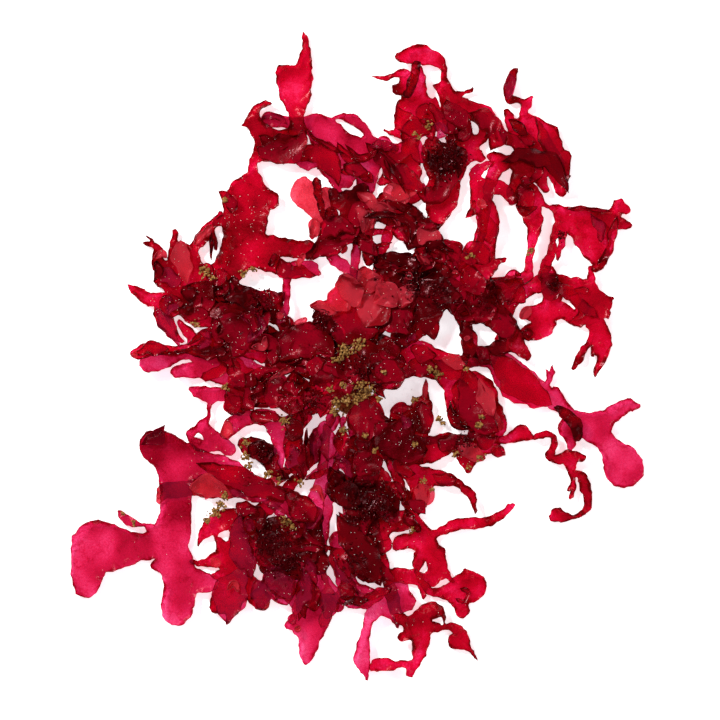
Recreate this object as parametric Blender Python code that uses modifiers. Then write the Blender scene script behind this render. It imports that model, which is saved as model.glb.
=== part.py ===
"""A flat-bladed red seaweed, spread out on a surface as it was collected.

The plant is a small holdfast disc with thin, forked fronds that run out from it and lie over each other.
Each frond is one sheet. It is drawn as strokes: the midline of every branch with the blade's half-width
along it. The sheet's outline is the smooth union of its strokes, and its height comes from laying the
fronds down one after another, so that each rests on those beneath it.
"""

import math

import bmesh
import bpy
import numpy as np
from mathutils import Vector
from mathutils.geometry import delaunay_2d_cdt

MM = 0.001

# Driving dimensions, in millimetres
BLADE_THICKNESS = 0.7
LAYER_GAP = 0.5  # free height kept between a frond and what it lies on
HOLDFAST_RADIUS = 8.6
HOLDFAST_HEIGHT = 3.2
FILLET = 2.2  # rounding of the angle between two branches
MARGIN_WOBBLE = 0.35  # how far the margin wanders in and out
MESH_SPACING = 5.6  # between points inside a broad blade
RIM_SPACING = (2.4, 5.0)  # between points along a straight margin, on the narrowest and broadest branches
TURN_PER_POINT = 0.75  # radians that the margin turns from one of its points to the next
DRAPE_SLOPE = 0.42  # steepest rise of a blade as it climbs onto another
SWELL_HEIGHT = 2.6  # the low waves that the whole plant shares
RUFFLE_REACH = 7.0  # how far in from the margin a ruffle is felt

# The ground grid on which heights are worked out
CELL = 1.0
GRID_X = (-136.0, 142.0)
GRID_Y = (-136.0, 174.0)

# Blade colours, linear RGB
CRIMSON = (0.50, 0.010, 0.045)
ROSE = (0.62, 0.022, 0.090)
SCARLET = (0.60, 0.030, 0.050)
MAROON = (0.20, 0.004, 0.018)
HOLDFAST_BROWN = (0.20, 0.085, 0.035)

# Fronds from the lowest to the highest: name, colour, ruffle height, and strokes of (x, y, half-width).
# The main fronds start beside the holdfast, which is at the origin. The blades start among them.
FRONDS = [
    ("frond_pale_left", ROSE, 0.8, [
        [(-16, -16, 1.2), (-26, -30, 2), (-36, -39, 2.5), (-50, -42.5, 3), (-58, -42, 4),
         (-66, -40.3, 5.6)],
        [(-66, -40, 4), (-76, -42, 3.5), (-84.5, -42.5, 3.6), (-86, -46.5, 1.8)],
    ]),
    ("frond_low_left", ROSE, 1.4, [
        [(-10.4, -1, 1.1), (-25, 3, 3), (-42, 8, 6), (-55, 12, 7.5), (-65, 12, 4.4), (-73, 11.8, 3.4),
         (-79, 10.8, 2.6)],
        [(-60, 17, 6), (-70, 18, 2.4), (-76, 18, 1.6), (-84, 15.5, 3.2), (-91, 14.6, 4.2)],
        [(-46, 4, 5), (-58, 1, 3), (-66, 1, 3.4), (-72.5, 3.2, 1.1)],
        [(-60, 1, 2), (-64, -4, 1), (-64.3, -9, 0.9), (-66.5, -13.5, 2.6), (-61, -20, 3.6), (-55, -24, 3)],
        [(-67, -14, 2.4), (-72, -16, 1.6), (-74, -17, 1)],
        [(-73, -18.5, 1.6), (-68, -22.5, 2.8), (-63, -23, 2)],
    ]),
    ("frond_left_mid", CRIMSON, 1.4, [
        [(-10.1, 2.7, 1.1), (-22, 12, 3), (-36, 20, 6), (-50, 26, 8), (-61, 26, 6.4), (-71, 22.5, 2.4),
         (-81, 20.6, 1.6), (-90, 21.3, 3.3), (-97, 18.9, 2.5)],
        [(-70, 24, 3), (-74, 29, 2.4), (-77.5, 33, 1.2)],
        [(-67, 24, 3), (-67, 28.5, 1.6)],
    ]),
    ("frond_left_upper", CRIMSON, 2.0, [
        [(-8.6, 6, 1.1), (-20, 18, 2), (-40, 30, 3), (-58, 37, 5), (-69, 38, 7), (-74, 46, 6.5),
         (-76, 55, 5.5),
         (-77, 61, 6), (-77.5, 64.3, 5.2)],
        [(-76, 41, 4.5), (-84, 43.4, 3.2), (-91, 43.6, 3), (-96, 46.6, 2.6), (-100.2, 49.6, 0.7)],
        [(-82, 42, 3), (-85.5, 37.5, 3.6), (-83, 32, 3.8), (-80, 27.5, 2), (-76.5, 24.5, 1)],
        [(-77, 50, 4), (-83, 54, 4.4), (-86.5, 59, 3.4), (-87.5, 64, 2)],
        [(-80.5, 66, 1.8), (-80, 71, 1.7), (-79.2, 74.5, 1)],
        [(-86, 65, 1.6), (-90, 68, 1), (-94, 69, 0.5)],
        [(-87, 66, 1.2), (-90, 70, 0.9), (-92.5, 72, 0.6)],
        [(-71, 60, 3), (-71, 66, 2.4), (-66, 73, 3), (-62, 77.5, 2), (-59, 82, 1.2)],
        [(-68, 70, 2), (-62.5, 72, 1.6), (-61, 66, 1)],
        [(-70, 60, 2.4), (-67, 54, 2.6), (-66, 48, 3.2), (-60, 44, 3.6), (-52, 39, 3)],
        [(-83, 50, 3), (-87.5, 51.5, 2)],
    ]),
    ("frond_top_plum", CRIMSON, 1.6, [
        [(-3, 10, 1.1), (-1, 30, 1.8), (1, 55, 2), (3, 75, 2.5), (6, 92, 4), (8, 104, 5), (7, 111, 5),
         (-2, 112, 5.5),
         (-11, 117, 7.5), (-16, 122, 5)],
        [(-9, 125, 0.8), (-5, 125.6, 0.9), (0, 125, 2.6), (4, 121.5, 2.3), (6.5, 118.5, 1.4), (8, 115, 3)],
        [(-4, 103, 4.5), (-10, 103, 4.5), (-15, 108, 4.4), (-20, 105.5, 4.4), (-25.5, 107, 1.8)],
        [(-10, 102, 3.6), (-7, 95, 2), (-5.5, 91, 0.8)],
        [(4, 105, 4), (0, 101, 3.6), (-2.5, 96, 2.8)],
        [(-8, 108, 1.4), (-9, 115, 0.5)],
        [(-4, 110, 5), (-4, 104, 4)],
        [(8, 111, 4), (14, 111.5, 3.5), (19, 111, 2.6)],
        [(-17, 123, 4), (-26, 122, 2.5), (-33, 124, 3.2), (-37.6, 123.4, 3.4)],
    ]),
    ("frond_upper_left", CRIMSON, 2.0, [
        [(-6, 8.6, 1.1), (-18, 24, 2), (-34, 36, 2.6), (-50, 42, 3), (-58, 48, 4.6), (-55, 57, 7),
         (-50, 66, 8.5), (-48, 76, 9.5),
         (-46, 86, 9), (-45, 95, 5), (-44.6, 101, 2.6), (-44, 105, 1.6), (-42, 108, 3), (-36, 112, 7)],
        [(-54, 57, 7), (-60, 54, 5.4), (-63, 50, 2.5)],
        [(-42, 88, 7), (-37, 88, 4.6)],
        [(-46, 95, 4), (-51, 95, 3.2), (-53.5, 94, 1.6)],
        [(-52, 93, 1.8), (-56, 90, 1.6), (-57, 85, 1.4), (-55, 82, 2), (-52, 80, 4)],
        [(-52, 78, 6), (-58, 79, 2.6), (-61.5, 77, 1.2)],
        [(-42, 67, 6), (-34, 67.5, 4.4), (-26, 66, 4), (-19, 66.5, 3.4)],
        [(-40, 61, 5), (-34, 59, 3.6), (-30, 56, 2.6), (-27.5, 57.5, 1.2)],
        [(-37, 112, 7), (-30, 113, 6.5), (-25, 117, 4.8), (-25, 124, 3.2), (-25, 130, 4), (-25.4, 136, 7.4),
         (-26.4, 141, 7.6)],
        [(-28, 141, 6), (-31.2, 145.4, 3.6)],
        [(-22.6, 141, 5), (-21.4, 148.4, 3.6), (-20.5, 155, 2), (-20.7, 160, 1.5), (-22.3, 163.8, 0.5)],
        [(-38, 116, 4.4), (-43, 121, 3.8), (-44.6, 125, 2.8), (-42.6, 129, 2.2), (-39, 131.4, 1.4),
         (-36.3, 131.6, 0.7)],
        [(-44, 122, 2), (-49.4, 121.8, 0.7)],
        [(-31, 111, 5), (-31, 104, 0.7)],
        [(-40, 108.6, 3), (-45.4, 106.4, 0.9)],
    ]),
    ("blade_pale_pair", ROSE, 1.2, [
        [(-4, 66, 2), (-6, 74, 2.4), (-10, 81, 3), (-17, 84, 3.4), (-21, 90.5, 6.3), (-21.5, 92.5, 5.8)],
        [(-13, 82, 2.6), (-16.5, 76, 2.8), (-17.8, 71.5, 1.2)],
        [(-11, 83, 2), (-11.5, 91, 3.2)],
    ]),
    ("frond_top_centre", CRIMSON, 2.2, [
        [(0, 10.4, 1.1), (6, 34, 1.8), (12, 60, 2), (19, 80, 3), (24, 92, 5.5), (26.5, 101, 5),
         (26, 110, 4),
         (26, 118, 4.5), (27, 127, 7), (28, 134, 4.5)],
        [(22, 130, 3), (21.5, 123, 2.8), (22, 119, 3)],
        [(22, 118, 2), (18, 118, 1.2), (14.4, 119.3, 0.5)],
        [(28, 128, 6), (33, 129, 5.5), (37.5, 127, 3.5), (40, 125.5, 1.5)],
        [(32, 130, 3), (33, 137, 0.8)],
        [(27, 116, 3), (31, 119.5, 2.8), (36, 121, 2.8), (40, 120.6, 1.4)],
        [(36, 129, 2), (37.5, 134, 0.6)],
        [(27, 134, 4), (25, 140, 3.8), (23.5, 144, 3), (19.5, 144, 0.8), (15, 142.3, 1.4), (9, 143, 0.5)],
        [(25, 137, 3), (20.5, 137.3, 2.7)],
        [(29, 137, 3), (31, 142, 2.6), (30, 147, 1.5)],
        [(24, 98, 5), (18, 99, 4), (13, 96, 1.5)],
        [(22, 90, 5), (30, 92, 4)],
        [(26, 104, 4), (19, 106, 3.5), (12, 107, 3)],
    ]),
    ("frond_top_cap", CRIMSON, 2.2, [
        [(3, 10, 1.1), (14, 32, 1.8), (26, 56, 2.5), (35, 74, 3), (41, 88, 6.5), (42, 98, 7),
         (47, 107, 6), (49, 115, 5.6),
         (46.5, 124, 6), (44.5, 131, 5), (42, 138, 3), (41, 144.4, 1), (41, 148.5, 2), (37, 151.7, 3.6),
         (31, 153, 4.2), (25, 152.4, 3.8), (22.4, 152, 2.8)],
        [(31, 156, 2.4), (28.5, 157, 1.2)],
        [(42, 137, 2.6), (39, 138.5, 1.8), (36.3, 139, 0.5)],
        [(46, 130, 5), (54, 127.8, 4.6), (60, 126, 4.6), (63, 121, 2.4)],
        [(60.6, 124, 4), (60.2, 118.6, 2.8), (56, 114.4, 2.8), (50, 112, 4)],
        [(44, 133, 2), (48, 135.4, 1.4), (53, 136.8, 0.8), (54.4, 138.6, 0.4)],
        [(38, 92, 5.5), (36, 86, 3), (36, 83, 1.5)],
        [(50, 110, 4.5), (56, 108, 3.2), (59, 107, 1.5)],
        [(42, 98, 6), (38, 105, 6.5), (36, 112, 4.5)],
    ]),
    ("frond_top_right", CRIMSON, 2.2, [
        [(5.8, 8.6, 1.1), (22, 28, 1.8), (38, 48, 2.2), (55, 66, 2.4), (60, 84, 2.4), (62, 96, 2.6),
         (67, 104, 3.4), (76, 106, 3.2),
         (83, 106.5, 4.2), (89, 103.5, 4.4), (93, 98, 3.6), (94, 92.5, 2.8)],
        [(84, 108, 3), (85, 115, 4.4), (82.6, 120.4, 3.6), (80, 125, 1.6)],
        [(85, 112, 4.6), (90, 106.6, 4.4), (94, 102, 2)],
        [(94, 97, 2.5), (98.6, 99.4, 0.4)],
        [(78, 108, 3), (77, 115, 3.5), (76.5, 120, 4), (77, 126, 1.8), (78, 130.5, 2.2), (75, 132.8, 1.4),
         (70.5, 133.3, 1.8), (70.2, 138, 2.1), (72, 143, 2.4), (73, 146, 1.6)],
        [(78, 131, 2), (80.8, 134.3, 0.6)],
        [(77, 119, 3), (71.5, 122, 2.6), (70, 127, 2)],
        [(78.5, 110, 2.4), (74, 114, 3), (69, 116.5, 2.4), (66, 119.5, 1)],
        [(68, 105, 3), (63, 107.5, 2.4)],
        [(84, 103, 3.4), (84, 98, 3), (87, 93, 2)],
        [(74, 104, 3), (76, 98, 4.4), (73, 92, 3.6), (72, 87, 2)],
    ]),
    ("frond_right_upper", CRIMSON, 2.0, [
        [(8.1, 6.5, 1.1), (22, 22, 1.8), (34, 38, 2.2), (52, 48, 2.4), (68, 51, 2.8), (78.5, 53.5, 2.8),
         (79.3, 59, 1.6),
         (80, 65, 1.5), (81, 71, 2.4), (82, 77, 3.8), (79.5, 86, 5.6), (79, 92, 4.8), (83, 91, 2), (85, 87, 1.3),
         (88.5, 84.6, 1.1), (92, 84, 2), (97, 80.5, 4.5), (103, 77, 7), (107, 69, 6), (107.5, 62, 2)],
        [(104, 79, 6), (111, 79, 5), (117, 80, 3.6), (120, 86, 2.6), (123, 83.5, 2)],
        [(115, 78, 4), (119.5, 77.5, 3), (125, 76.5, 0.9)],
        [(112, 76, 4.5), (113.5, 68, 2.6), (112.5, 60.5, 2.8), (109, 57.5, 1.6)],
        [(93, 82, 1.6), (93, 77, 2), (94.5, 71, 1.8), (93, 65, 1.3), (92, 61, 0.5)],
        [(93, 77, 2), (90, 71, 1.6), (89.7, 65, 1.6), (87.5, 60, 2.6), (85.5, 54, 2.4)],
    ]),
    ("frond_right_mid", CRIMSON, 2.0, [
        [(9.6, 4, 1.1), (30, 11.5, 1.8), (50, 14, 2.2), (65, 19.5, 2.4), (68, 32, 2.6), (72, 43, 3.2),
         (80, 48.5, 3.4), (88, 51, 4.6), (96, 49, 4.6),
         (103, 46, 6.5), (110, 42.5, 4.6), (114.5, 41.5, 2.8)],
        [(107, 47, 2.6), (107.3, 53, 1.6), (107, 58.5, 0.8)],
        [(112, 42, 3.6), (117.5, 43.6, 0.8)],
        [(113, 40, 3), (115.3, 35, 0.8)],
        [(104, 42, 4.5), (107, 34, 2.8), (108.5, 28, 1.8), (109.3, 22, 1.5), (108, 18, 0.9)],
        [(109.5, 39, 1.5), (111.5, 34, 2), (113.5, 27, 2.8), (113, 20, 2.8), (110.5, 13, 1.5),
         (108.4, 8.5, 0.4)],
        [(108, 26, 1.2), (105, 22, 1.6), (102, 17, 1.7), (99.8, 12.8, 1.3)],
        [(92, 41, 3), (96, 37.5, 3.6), (101.5, 34, 3.2)],
        [(90, 45, 4), (88.5, 38, 4.8), (86, 31.6, 5), (81, 28.6, 4.2), (77.4, 29, 2)],
        [(86, 38, 3), (80, 37.5, 3.2), (76.8, 36, 1.6)],
    ]),
    ("frond_right_fork", ROSE, 1.6, [
        [(10.4, 0.5, 1.1), (20, 10, 1.8), (34, 13.5, 2), (48, 15, 2.6), (59, 17, 3.6), (66, 15.5, 5.5),
         (72, 8.5, 8), (80, 3.5, 6.6),
         (87, -0.5, 4.4), (93, -5, 2.4), (98, -9, 3.4), (104, -13, 6), (110, -14.5, 6.8)],
        [(110, -13, 5.5), (117, -8.5, 3.8), (123.5, -4, 3.3), (127.5, -4.5, 1.8)],
        [(111, -17, 5), (116, -23, 4.4), (121, -29.5, 8.4), (122.3, -32.4, 9.2)],
        [(97, -7.5, 2.4), (93.5, -2, 2.2), (91.5, 2.5, 2)],
        [(101, -15, 2.4), (95.5, -13.5, 3.3), (98, -19, 2.6), (98, -23.5, 1.8)],
        [(86, 3, 1.2), (88.5, 7, 1.3), (90, 10, 1.3), (89.8, 14, 0.5)],
        [(88.5, 8, 0.8), (87.4, 12, 0.5)],
    ]),
    ("frond_right_ribbon", ROSE, 1.2, [
        [(9.8, -3.5, 1.1), (17, -13, 1.8), (30, -20, 1.8), (48, -19, 2), (62, -20, 1.8), (70, -19.5, 2),
         (76, -16.5, 3.8),
         (79.5, -18.5, 1.4), (82, -18.8, 1.1), (86, -17, 2), (90, -17.8, 1.3), (91, -21, 1.6), (89.5, -25, 1.8),
         (88, -27.5, 1.2), (91, -28.3, 1.6), (96, -28, 3.2), (98, -31, 2.6), (99.2, -35, 1.3), (101.5, -35, 1.5),
         (104, -37, 2.5), (105.2, -43, 2.2), (106.5, -48.5, 1.9), (104, -52.5, 1.2), (99, -54.6, 1.2),
         (94, -54.2, 2.4), (90.5, -54.3, 2.4)],
        [(97, -27, 3), (103, -27.5, 2)],
        [(93, -52, 2.4), (91, -54, 2.6)],
        [(99, -36, 1), (99.8, -42, 1.1), (98, -46, 1)],
        [(99.3, -40, 0.9), (96.8, -42, 0.9)],
    ]),
    ("frond_low_right", CRIMSON, 1.8, [
        [(7.4, -7.4, 1.1), (16, -28, 1.8), (24, -45, 2.4), (28, -55, 2.6), (33, -61, 2.4), (38, -61.8, 1.5),
         (44, -58.8, 2.2), (50, -57, 2.8), (57, -57, 2.6), (63, -55.6, 2.2), (68, -52.5, 2), (72.3, -48.6, 1.2)],
        [(30, -60, 2.5), (35, -67, 4), (38, -75, 4.5), (37, -81, 4), (32, -85, 2.6), (32.3, -91, 0.6)],
        [(37, -70, 2.4), (40.5, -69.5, 1.8)],
        [(40, -76, 2), (43, -81, 1.6), (45, -83, 1.2)],
        [(30, -82, 3), (22, -80.5, 3.6), (15, -80, 2.6), (13, -76, 1.6)],
        [(33, -66, 4), (27, -65, 3.8), (21, -66, 3), (20, -69, 1.2)],
        [(36, -72, 3), (31, -71, 3), (29.5, -76, 2.6)],
    ]),
    ("frond_bottom_right", CRIMSON, 1.8, [
        [(29, -79, 1.4), (34, -87, 1.8), (40, -88.5, 2.6), (46, -87.3, 4.4), (52, -85.5, 7.3),
         (54, -86, 6.6)],
        [(47, -91, 3.6), (50, -96.5, 3.2)],
        [(51, -79, 1), (50.7, -76.6, 0.4)],
    ]),
    ("frond_bottom_fan", CRIMSON, 1.8, [
        [(3.6, -9.8, 1.1), (7, -40, 1.8), (13, -70, 2), (18, -90, 3), (21, -100, 2.4), (25, -101, 2.6),
         (29, -104, 4.5),
         (31, -109, 4.4), (30, -115, 3), (29, -119.5, 1.8), (26.5, -122.5, 2.6), (26, -125, 1.2)],
        [(30, -99, 3.6), (36, -96, 4), (40.5, -98, 1.8), (41.5, -101.5, 0.5)],
        [(33, -103.5, 3.4), (39, -104, 1.8), (43, -103.6, 1.2), (47, -104.5, 2.4), (49, -109, 3.8),
         (46, -110.5, 3.4)],
        [(50, -111, 2.6), (53.5, -114.5, 0.9), (56.4, -119.2, 0.4)],
        [(26, -106, 3.4), (22, -108, 1.8)],
        [(29, -118.5, 1.4), (24, -119.8, 1.3), (18, -120.6, 2.4), (12, -120.2, 3.2), (8.5, -122.5, 1)],
    ]),
    ("frond_bottom", ROSE, 1.8, [
        [(0, -10.4, 1.1), (-1, -35, 1.8), (-3, -60, 2), (-4, -76, 3.2), (-3, -85, 4), (2, -91, 3.4),
         (9, -92, 3),
         (17, -91.5, 4.4), (22, -92, 5.5), (26, -92, 3)],
        [(12, -95, 3), (8.5, -98, 3), (6.5, -105, 1.8), (5, -111, 2.8), (4.3, -118.5, 3.8),
         (6, -123.5, 1.6),
         (6.6, -127.3, 0.5)],
        [(13, -95.5, 2.6), (17.5, -98.5, 1.5), (20.5, -103, 0.8)],
        [(22, -87, 4), (17, -87, 3)],
        [(4, -93, 2.6), (0, -93.5, 2.2), (-5, -92, 1.4)],
        [(-4, -80, 3), (-7, -74, 3), (-7, -64, 3)],
    ]),
    ("frond_bottom_mid", CRIMSON, 2.0, [
        [(-3.6, -9.8, 1.1), (-8, -35, 1.8), (-13, -60, 3), (-16, -75, 4.5), (-16, -86, 6), (-15, -96, 6.5),
         (-18, -106, 5.4), (-20, -114, 4.2), (-20.5, -120, 1)],
        [(-13, -88, 4), (-8, -93, 3.6), (-5.5, -95, 1.6)],
        [(-20, -96, 4.4), (-26, -101.5, 3), (-29.5, -103, 1.2)],
        [(-25, -102, 2.6), (-25, -106, 1.6)],
        [(-20, -84, 5), (-28, -86, 5.5), (-35, -85, 4), (-39.5, -83.5, 1.8)],
        [(-27, -91, 3), (-26, -95, 1)],
    ]),
    ("frond_low_cluster", CRIMSON, 2.2, [
        [(-6.9, -7.8, 1.1), (-20, -30, 1.8), (-34, -47, 3), (-46, -56, 5), (-50, -66, 6), (-50, -76, 6.5),
         (-53, -86, 7), (-58, -92, 5.6), (-61, -94, 3.6)],
        [(-48, -84, 5), (-42, -90, 4.8), (-40.5, -92.5, 4)],
        [(-54, -90, 6), (-54, -96, 3), (-56.3, -102, 0.6)],
        [(-48, -56, 5), (-56, -55, 5), (-62, -58, 4.4), (-67.5, -63, 1.8), (-69.3, -67.5, 0.5)],
        [(-56, -72, 4), (-62, -73.5, 3), (-67, -75.5, 1.8), (-72.5, -74, 0.7)],
        [(-57, -74, 4), (-58.5, -67, 2.4), (-61, -63.5, 1)],
        [(-55, -80, 4), (-62, -81, 1.6)],
    ]),
    ("blade_low_left_mass", MAROON, 1.2, [
        [(-16, -52, 3), (-20, -62, 7), (-19, -70, 7.5), (-14, -76, 4)],
        [(-22, -62, 6), (-35, -60, 6.5), (-36, -67, 7.5), (-35, -75, 7), (-25, -78, 5)],
    ]),
    ("blade_left_lump", MAROON, 1.2, [
        [(-30, -36, 2), (-36, -33, 2.4), (-38, -26, 4.6), (-45, -23, 4.6), (-49, -21, 2.4)],
    ]),
    ("blade_band_left", CRIMSON, 1.6, [
        [(-9, -3, 2), (-15, -3.5, 3.6), (-22, -3, 5.5), (-30, 1, 5.5), (-40, 4, 5), (-50, 3, 6),
         (-52, -4, 5.2)],
        [(-36, -1, 3), (-41, -3.4, 2), (-47, -3, 1)],
    ]),
    ("blade_arch", ROSE, 1.4, [
        [(-22, -9, 2.6), (-32, -14, 4.6), (-38, -9.5, 4), (-46, -9.5, 3.2), (-53, -12, 4),
         (-56.5, -17, 2.8)],
        [(-33, -16, 4), (-32, -24, 2.4), (-33, -31, 2.2)],
    ]),
    ("blade_low_right", CRIMSON, 1.8, [
        [(20, -28, 3), (26, -34, 4.6), (31, -38, 5.4), (30, -46, 4.6), (30, -51, 2)],
        [(32, -36, 4.4), (42, -37, 3.2), (48, -39, 1.8), (51, -42, 1.4), (54, -44.5, 2), (55, -50, 1),
         (55, -52.8, 0.4)],
    ]),
    ("blade_centre_dark", MAROON, 1.4, [
        [(-6, -36, 3), (-7, -42, 5), (4, -45, 7), (14, -46, 6.5), (18, -52, 4)],
        [(2, -50, 5), (3, -60, 5.4), (5, -68, 7), (6, -76, 6.6), (9, -80, 3.6)],
    ]),
    ("blade_low_rose", ROSE, 1.0, [
        [(-20.5, -37, 0.8), (-14, -33.4, 2.4), (-8, -30, 3), (-3.5, -29, 2.4), (-0.5, -34, 2.6),
         (1, -38, 1.6)],
    ]),
    ("blade_low_centre", CRIMSON, 1.2, [
        [(14, -52, 3), (13, -60, 4), (14, -67, 4)],
        [(15, -58, 3.5), (21, -58, 3), (26, -57, 3)],
    ]),
    ("blade_centre_low", CRIMSON, 1.6, [
        [(-1, -22, 3), (4, -30, 7.6), (5, -24, 8.4), (17, -21, 7), (26, -23, 7.6), (35, -24, 6),
         (43, -21, 5)],
        [(27, -18, 6), (30.5, -12, 5.6), (31, -6, 5.2), (33, 0, 1.6), (33, 6, 0.6)],
        [(20, -14, 4), (21, -7, 3.6), (24, -6.5, 3)],
        [(5, -32, 6), (12, -36, 4), (16, -37, 2)],
    ]),
    ("blade_right_cluster", CRIMSON, 2.0, [
        [(34, 12, 4), (41, 11, 5), (47, 4, 5.5), (48.5, -5, 6.6), (54, -9, 5), (60, -6, 5.4),
         (64, -9, 5), (65, -14, 4.4),
         (58, -20, 6), (52, -25, 5.4), (52, -32, 2.6)],
        [(62, -22, 4.4), (68.5, -26.7, 0.6)],
        [(48, 6, 5), (55, 6, 5), (60, 2, 5), (60, -4, 5)],
    ]),
    ("blade_slant", ROSE, 1.4, [
        [(-7, -10, 2), (-10, -13, 3.2), (-14, -16, 3.6), (-18, -23, 3), (-19, -28, 1.4)],
    ]),
    ("blade_low_left", CRIMSON, 1.6, [
        [(-20, -9, 2.6), (-26, -16, 3.4), (-25, -28, 4.6), (-22.5, -36, 1.8)],
    ]),
    ("frond_lower_left_fork", ROSE, 1.8, [
        [(-9.2, -4.8, 1.1), (-12, -22, 2), (-14, -40, 3), (-20, -54, 5.6), (-28, -47, 5.4),
         (-40, -43.5, 4.6),
         (-51, -38, 7), (-61, -32, 6.4), (-71, -30.5, 7), (-80, -27, 8.6), (-88, -22.5, 7.6), (-91, -22.5, 4)],
        [(-79, -32, 8.6), (-79, -44, 7), (-79.5, -54, 7.4), (-82, -63, 8.6), (-91, -67.4, 6.2),
         (-98, -68, 6.4),
         (-106, -68.5, 9.6), (-114.5, -67, 11.6)],
        [(-115, -68, 11), (-118.5, -77, 7.8), (-119.3, -84.5, 6.4)],
        [(-82, -66, 7), (-78, -76, 7.4), (-77.5, -88, 7.4), (-78.5, -95.5, 7.6)],
        [(-77, -80, 6), (-69, -83, 5.4), (-63.5, -84, 3.8)],
        [(-84, -76, 4), (-88.6, -76.4, 2.2)],
        [(-89, -60, 3), (-93, -57.8, 0.8), (-96, -57.6, 0.9), (-100, -56.5, 2.5), (-105, -52, 0.8)],
    ]),
    ("blade_band_right", CRIMSON, 1.6, [
        [(2, 5, 3), (10, 14, 7), (20, 16, 7.4), (30, 18, 7.4), (38, 14, 4.6), (46, 11, 4)],
        [(14, 16, 7), (16, 23, 3.4)],
        [(36, 16, 5), (44, 15.5, 4), (50, 15.5, 2)],
    ]),
    ("blade_centre_right", MAROON, 1.6, [
        [(22, 26, 5), (30, 34, 7), (34, 42, 8), (36, 52, 8), (40, 62, 8), (46, 66, 4)],
        [(44, 46, 7), (54, 40, 7), (62, 38, 6), (70, 30, 5), (75, 22, 3.6), (79, 17, 1.4)],
        [(50, 36, 4), (51.5, 29, 2.6), (52, 22, 3), (57, 19.5, 3), (63, 20, 3.4), (70, 24, 4)],
        [(36, 54, 7), (28, 57, 6), (20, 57, 5), (13, 60, 4)],
        [(24, 55, 5), (17, 52, 3.6)],
        [(60, 44, 6), (68, 48.5, 5), (74.5, 51, 2.4)],
    ]),
    ("blade_upright_red", CRIMSON, 1.8, [
        [(42, 48, 4), (48, 50, 6), (54, 50, 7), (57, 59, 6.6), (60, 67, 4.4), (61.5, 75, 4.6),
         (61, 82, 4.6),
         (58, 88, 4.6), (56, 95, 3.6), (55, 100, 2.4), (58, 102.4, 2.4), (61.5, 104, 1.6)],
        [(58, 93, 4), (64, 94, 3.6), (69, 92, 3), (72, 87, 2)],
        [(57, 85, 3.6), (51.6, 81, 0.7)],
        [(50, 60, 4), (45, 65, 3)],
        [(61, 57, 3), (66, 60.5, 1.3), (69, 62, 0.8)],
    ]),
    ("blade_left_plum", MAROON, 1.4, [
        [(-8, 14, 2.5), (-14, 26, 4), (-22, 29, 4), (-36, 24, 4), (-46, 27, 6), (-55, 31, 8), (-58, 37, 4)],
        [(-8, 16, 4), (-8, 26, 5), (-12, 33, 4)],
    ]),
    ("blade_left_dark", MAROON, 1.6, [
        [(-30, 31, 3), (-33, 36, 4), (-37, 39, 5.4), (-46, 43, 5), (-53, 48, 3.4), (-53, 52, 2)],
        [(-37, 42, 4), (-32, 44.5, 2.4)],
    ]),
    ("blade_twisted_strap", ROSE, 1.0, [
        [(-32, 34, 2), (-29.2, 40, 1.3), (-29.3, 46, 1.3), (-29.7, 51, 1.9), (-27.8, 56, 2.2),
         (-24, 57.5, 3.8),
         (-18, 57.2, 3.4), (-15, 54.5, 0.9)],
    ]),
    ("blade_centre_top", MAROON, 1.4, [
        [(9, 65, 3.2), (4, 71, 3.6), (-4, 75, 6), (-10, 69.5, 4.8), (-15, 65, 3), (-19, 63, 2.2)],
        [(2, 73, 4), (3, 80, 3.4), (6, 86, 4), (4, 92, 4)],
        [(-2, 78, 4), (-2, 84, 3)],
        [(3, 85, 3), (-2, 89, 3.5), (-7, 87, 3), (-8.5, 91, 2.4)],
        [(-5, 77, 3), (-12, 80, 1.3), (-14, 86, 1.7), (-16, 96, 1.8)],
    ]),
    ("blade_ring", MAROON, 1.4, [
        [(8, 60, 2), (6, 70, 3), (8, 82, 4), (14, 80.5, 3), (21, 78.5, 3), (26, 74, 3), (26, 68, 2.5)],
        [(14, 88, 3), (20, 86, 2.6), (28, 83, 2.5), (31, 78, 2.6), (37, 76, 2.5)],
        [(34, 74, 4), (31, 70, 3.6), (38, 71, 3)],
        [(10, 84, 3.4), (14, 88, 3)],
    ]),
    ("blade_oval", CRIMSON, 1.4, [
        [(-9, 9, 2.6), (-13, 14, 4.6), (-18, 20, 8.8), (-28, 19.5, 9.2), (-34, 14, 5)],
    ]),
    ("blade_light_fan", SCARLET, 1.8, [
        [(4, 18, 2), (5, 26, 4), (6, 33, 7), (0, 36, 6.4), (-2, 45, 5), (-2.5, 50.5, 4.8)],
        [(-2, 38, 5), (-7, 44.5, 4.2)],
        [(-6, 37, 4.5), (-13, 40, 2.6), (-18.5, 40.5, 1)],
        [(8, 40, 7), (16, 44, 4.5), (25, 46, 4.2)],
        [(12, 35, 6), (22, 36, 5)],
        [(8, 44, 5), (6, 54, 4)],
    ]),
    ("blade_small_rose", ROSE, 0.8, [
        [(2, 53, 2), (-2.5, 57.5, 2.6), (-6.5, 60.5, 3), (-9.6, 62, 1.8)],
    ]),
    ("blade_round_lobe", CRIMSON, 1.2, [
        [(4, -4, 2), (5, -10, 7.6), (8, -11, 6.4)],
    ]),
    ("blade_fold_right", MAROON, 0.8, [
        [(92, -5, 1.2), (98, -10, 3.2), (101.3, -14, 2.8), (101, -19, 1.8)],
    ]),
    ("blade_curl_top", MAROON, 0.8, [
        [(29, 148.5, 1.8), (27.5, 142, 2.3), (25, 135.5, 2.2)],
    ]),
]


def clear_scene():
    for obj in list(bpy.data.objects):
        bpy.data.objects.remove(obj)


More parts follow.
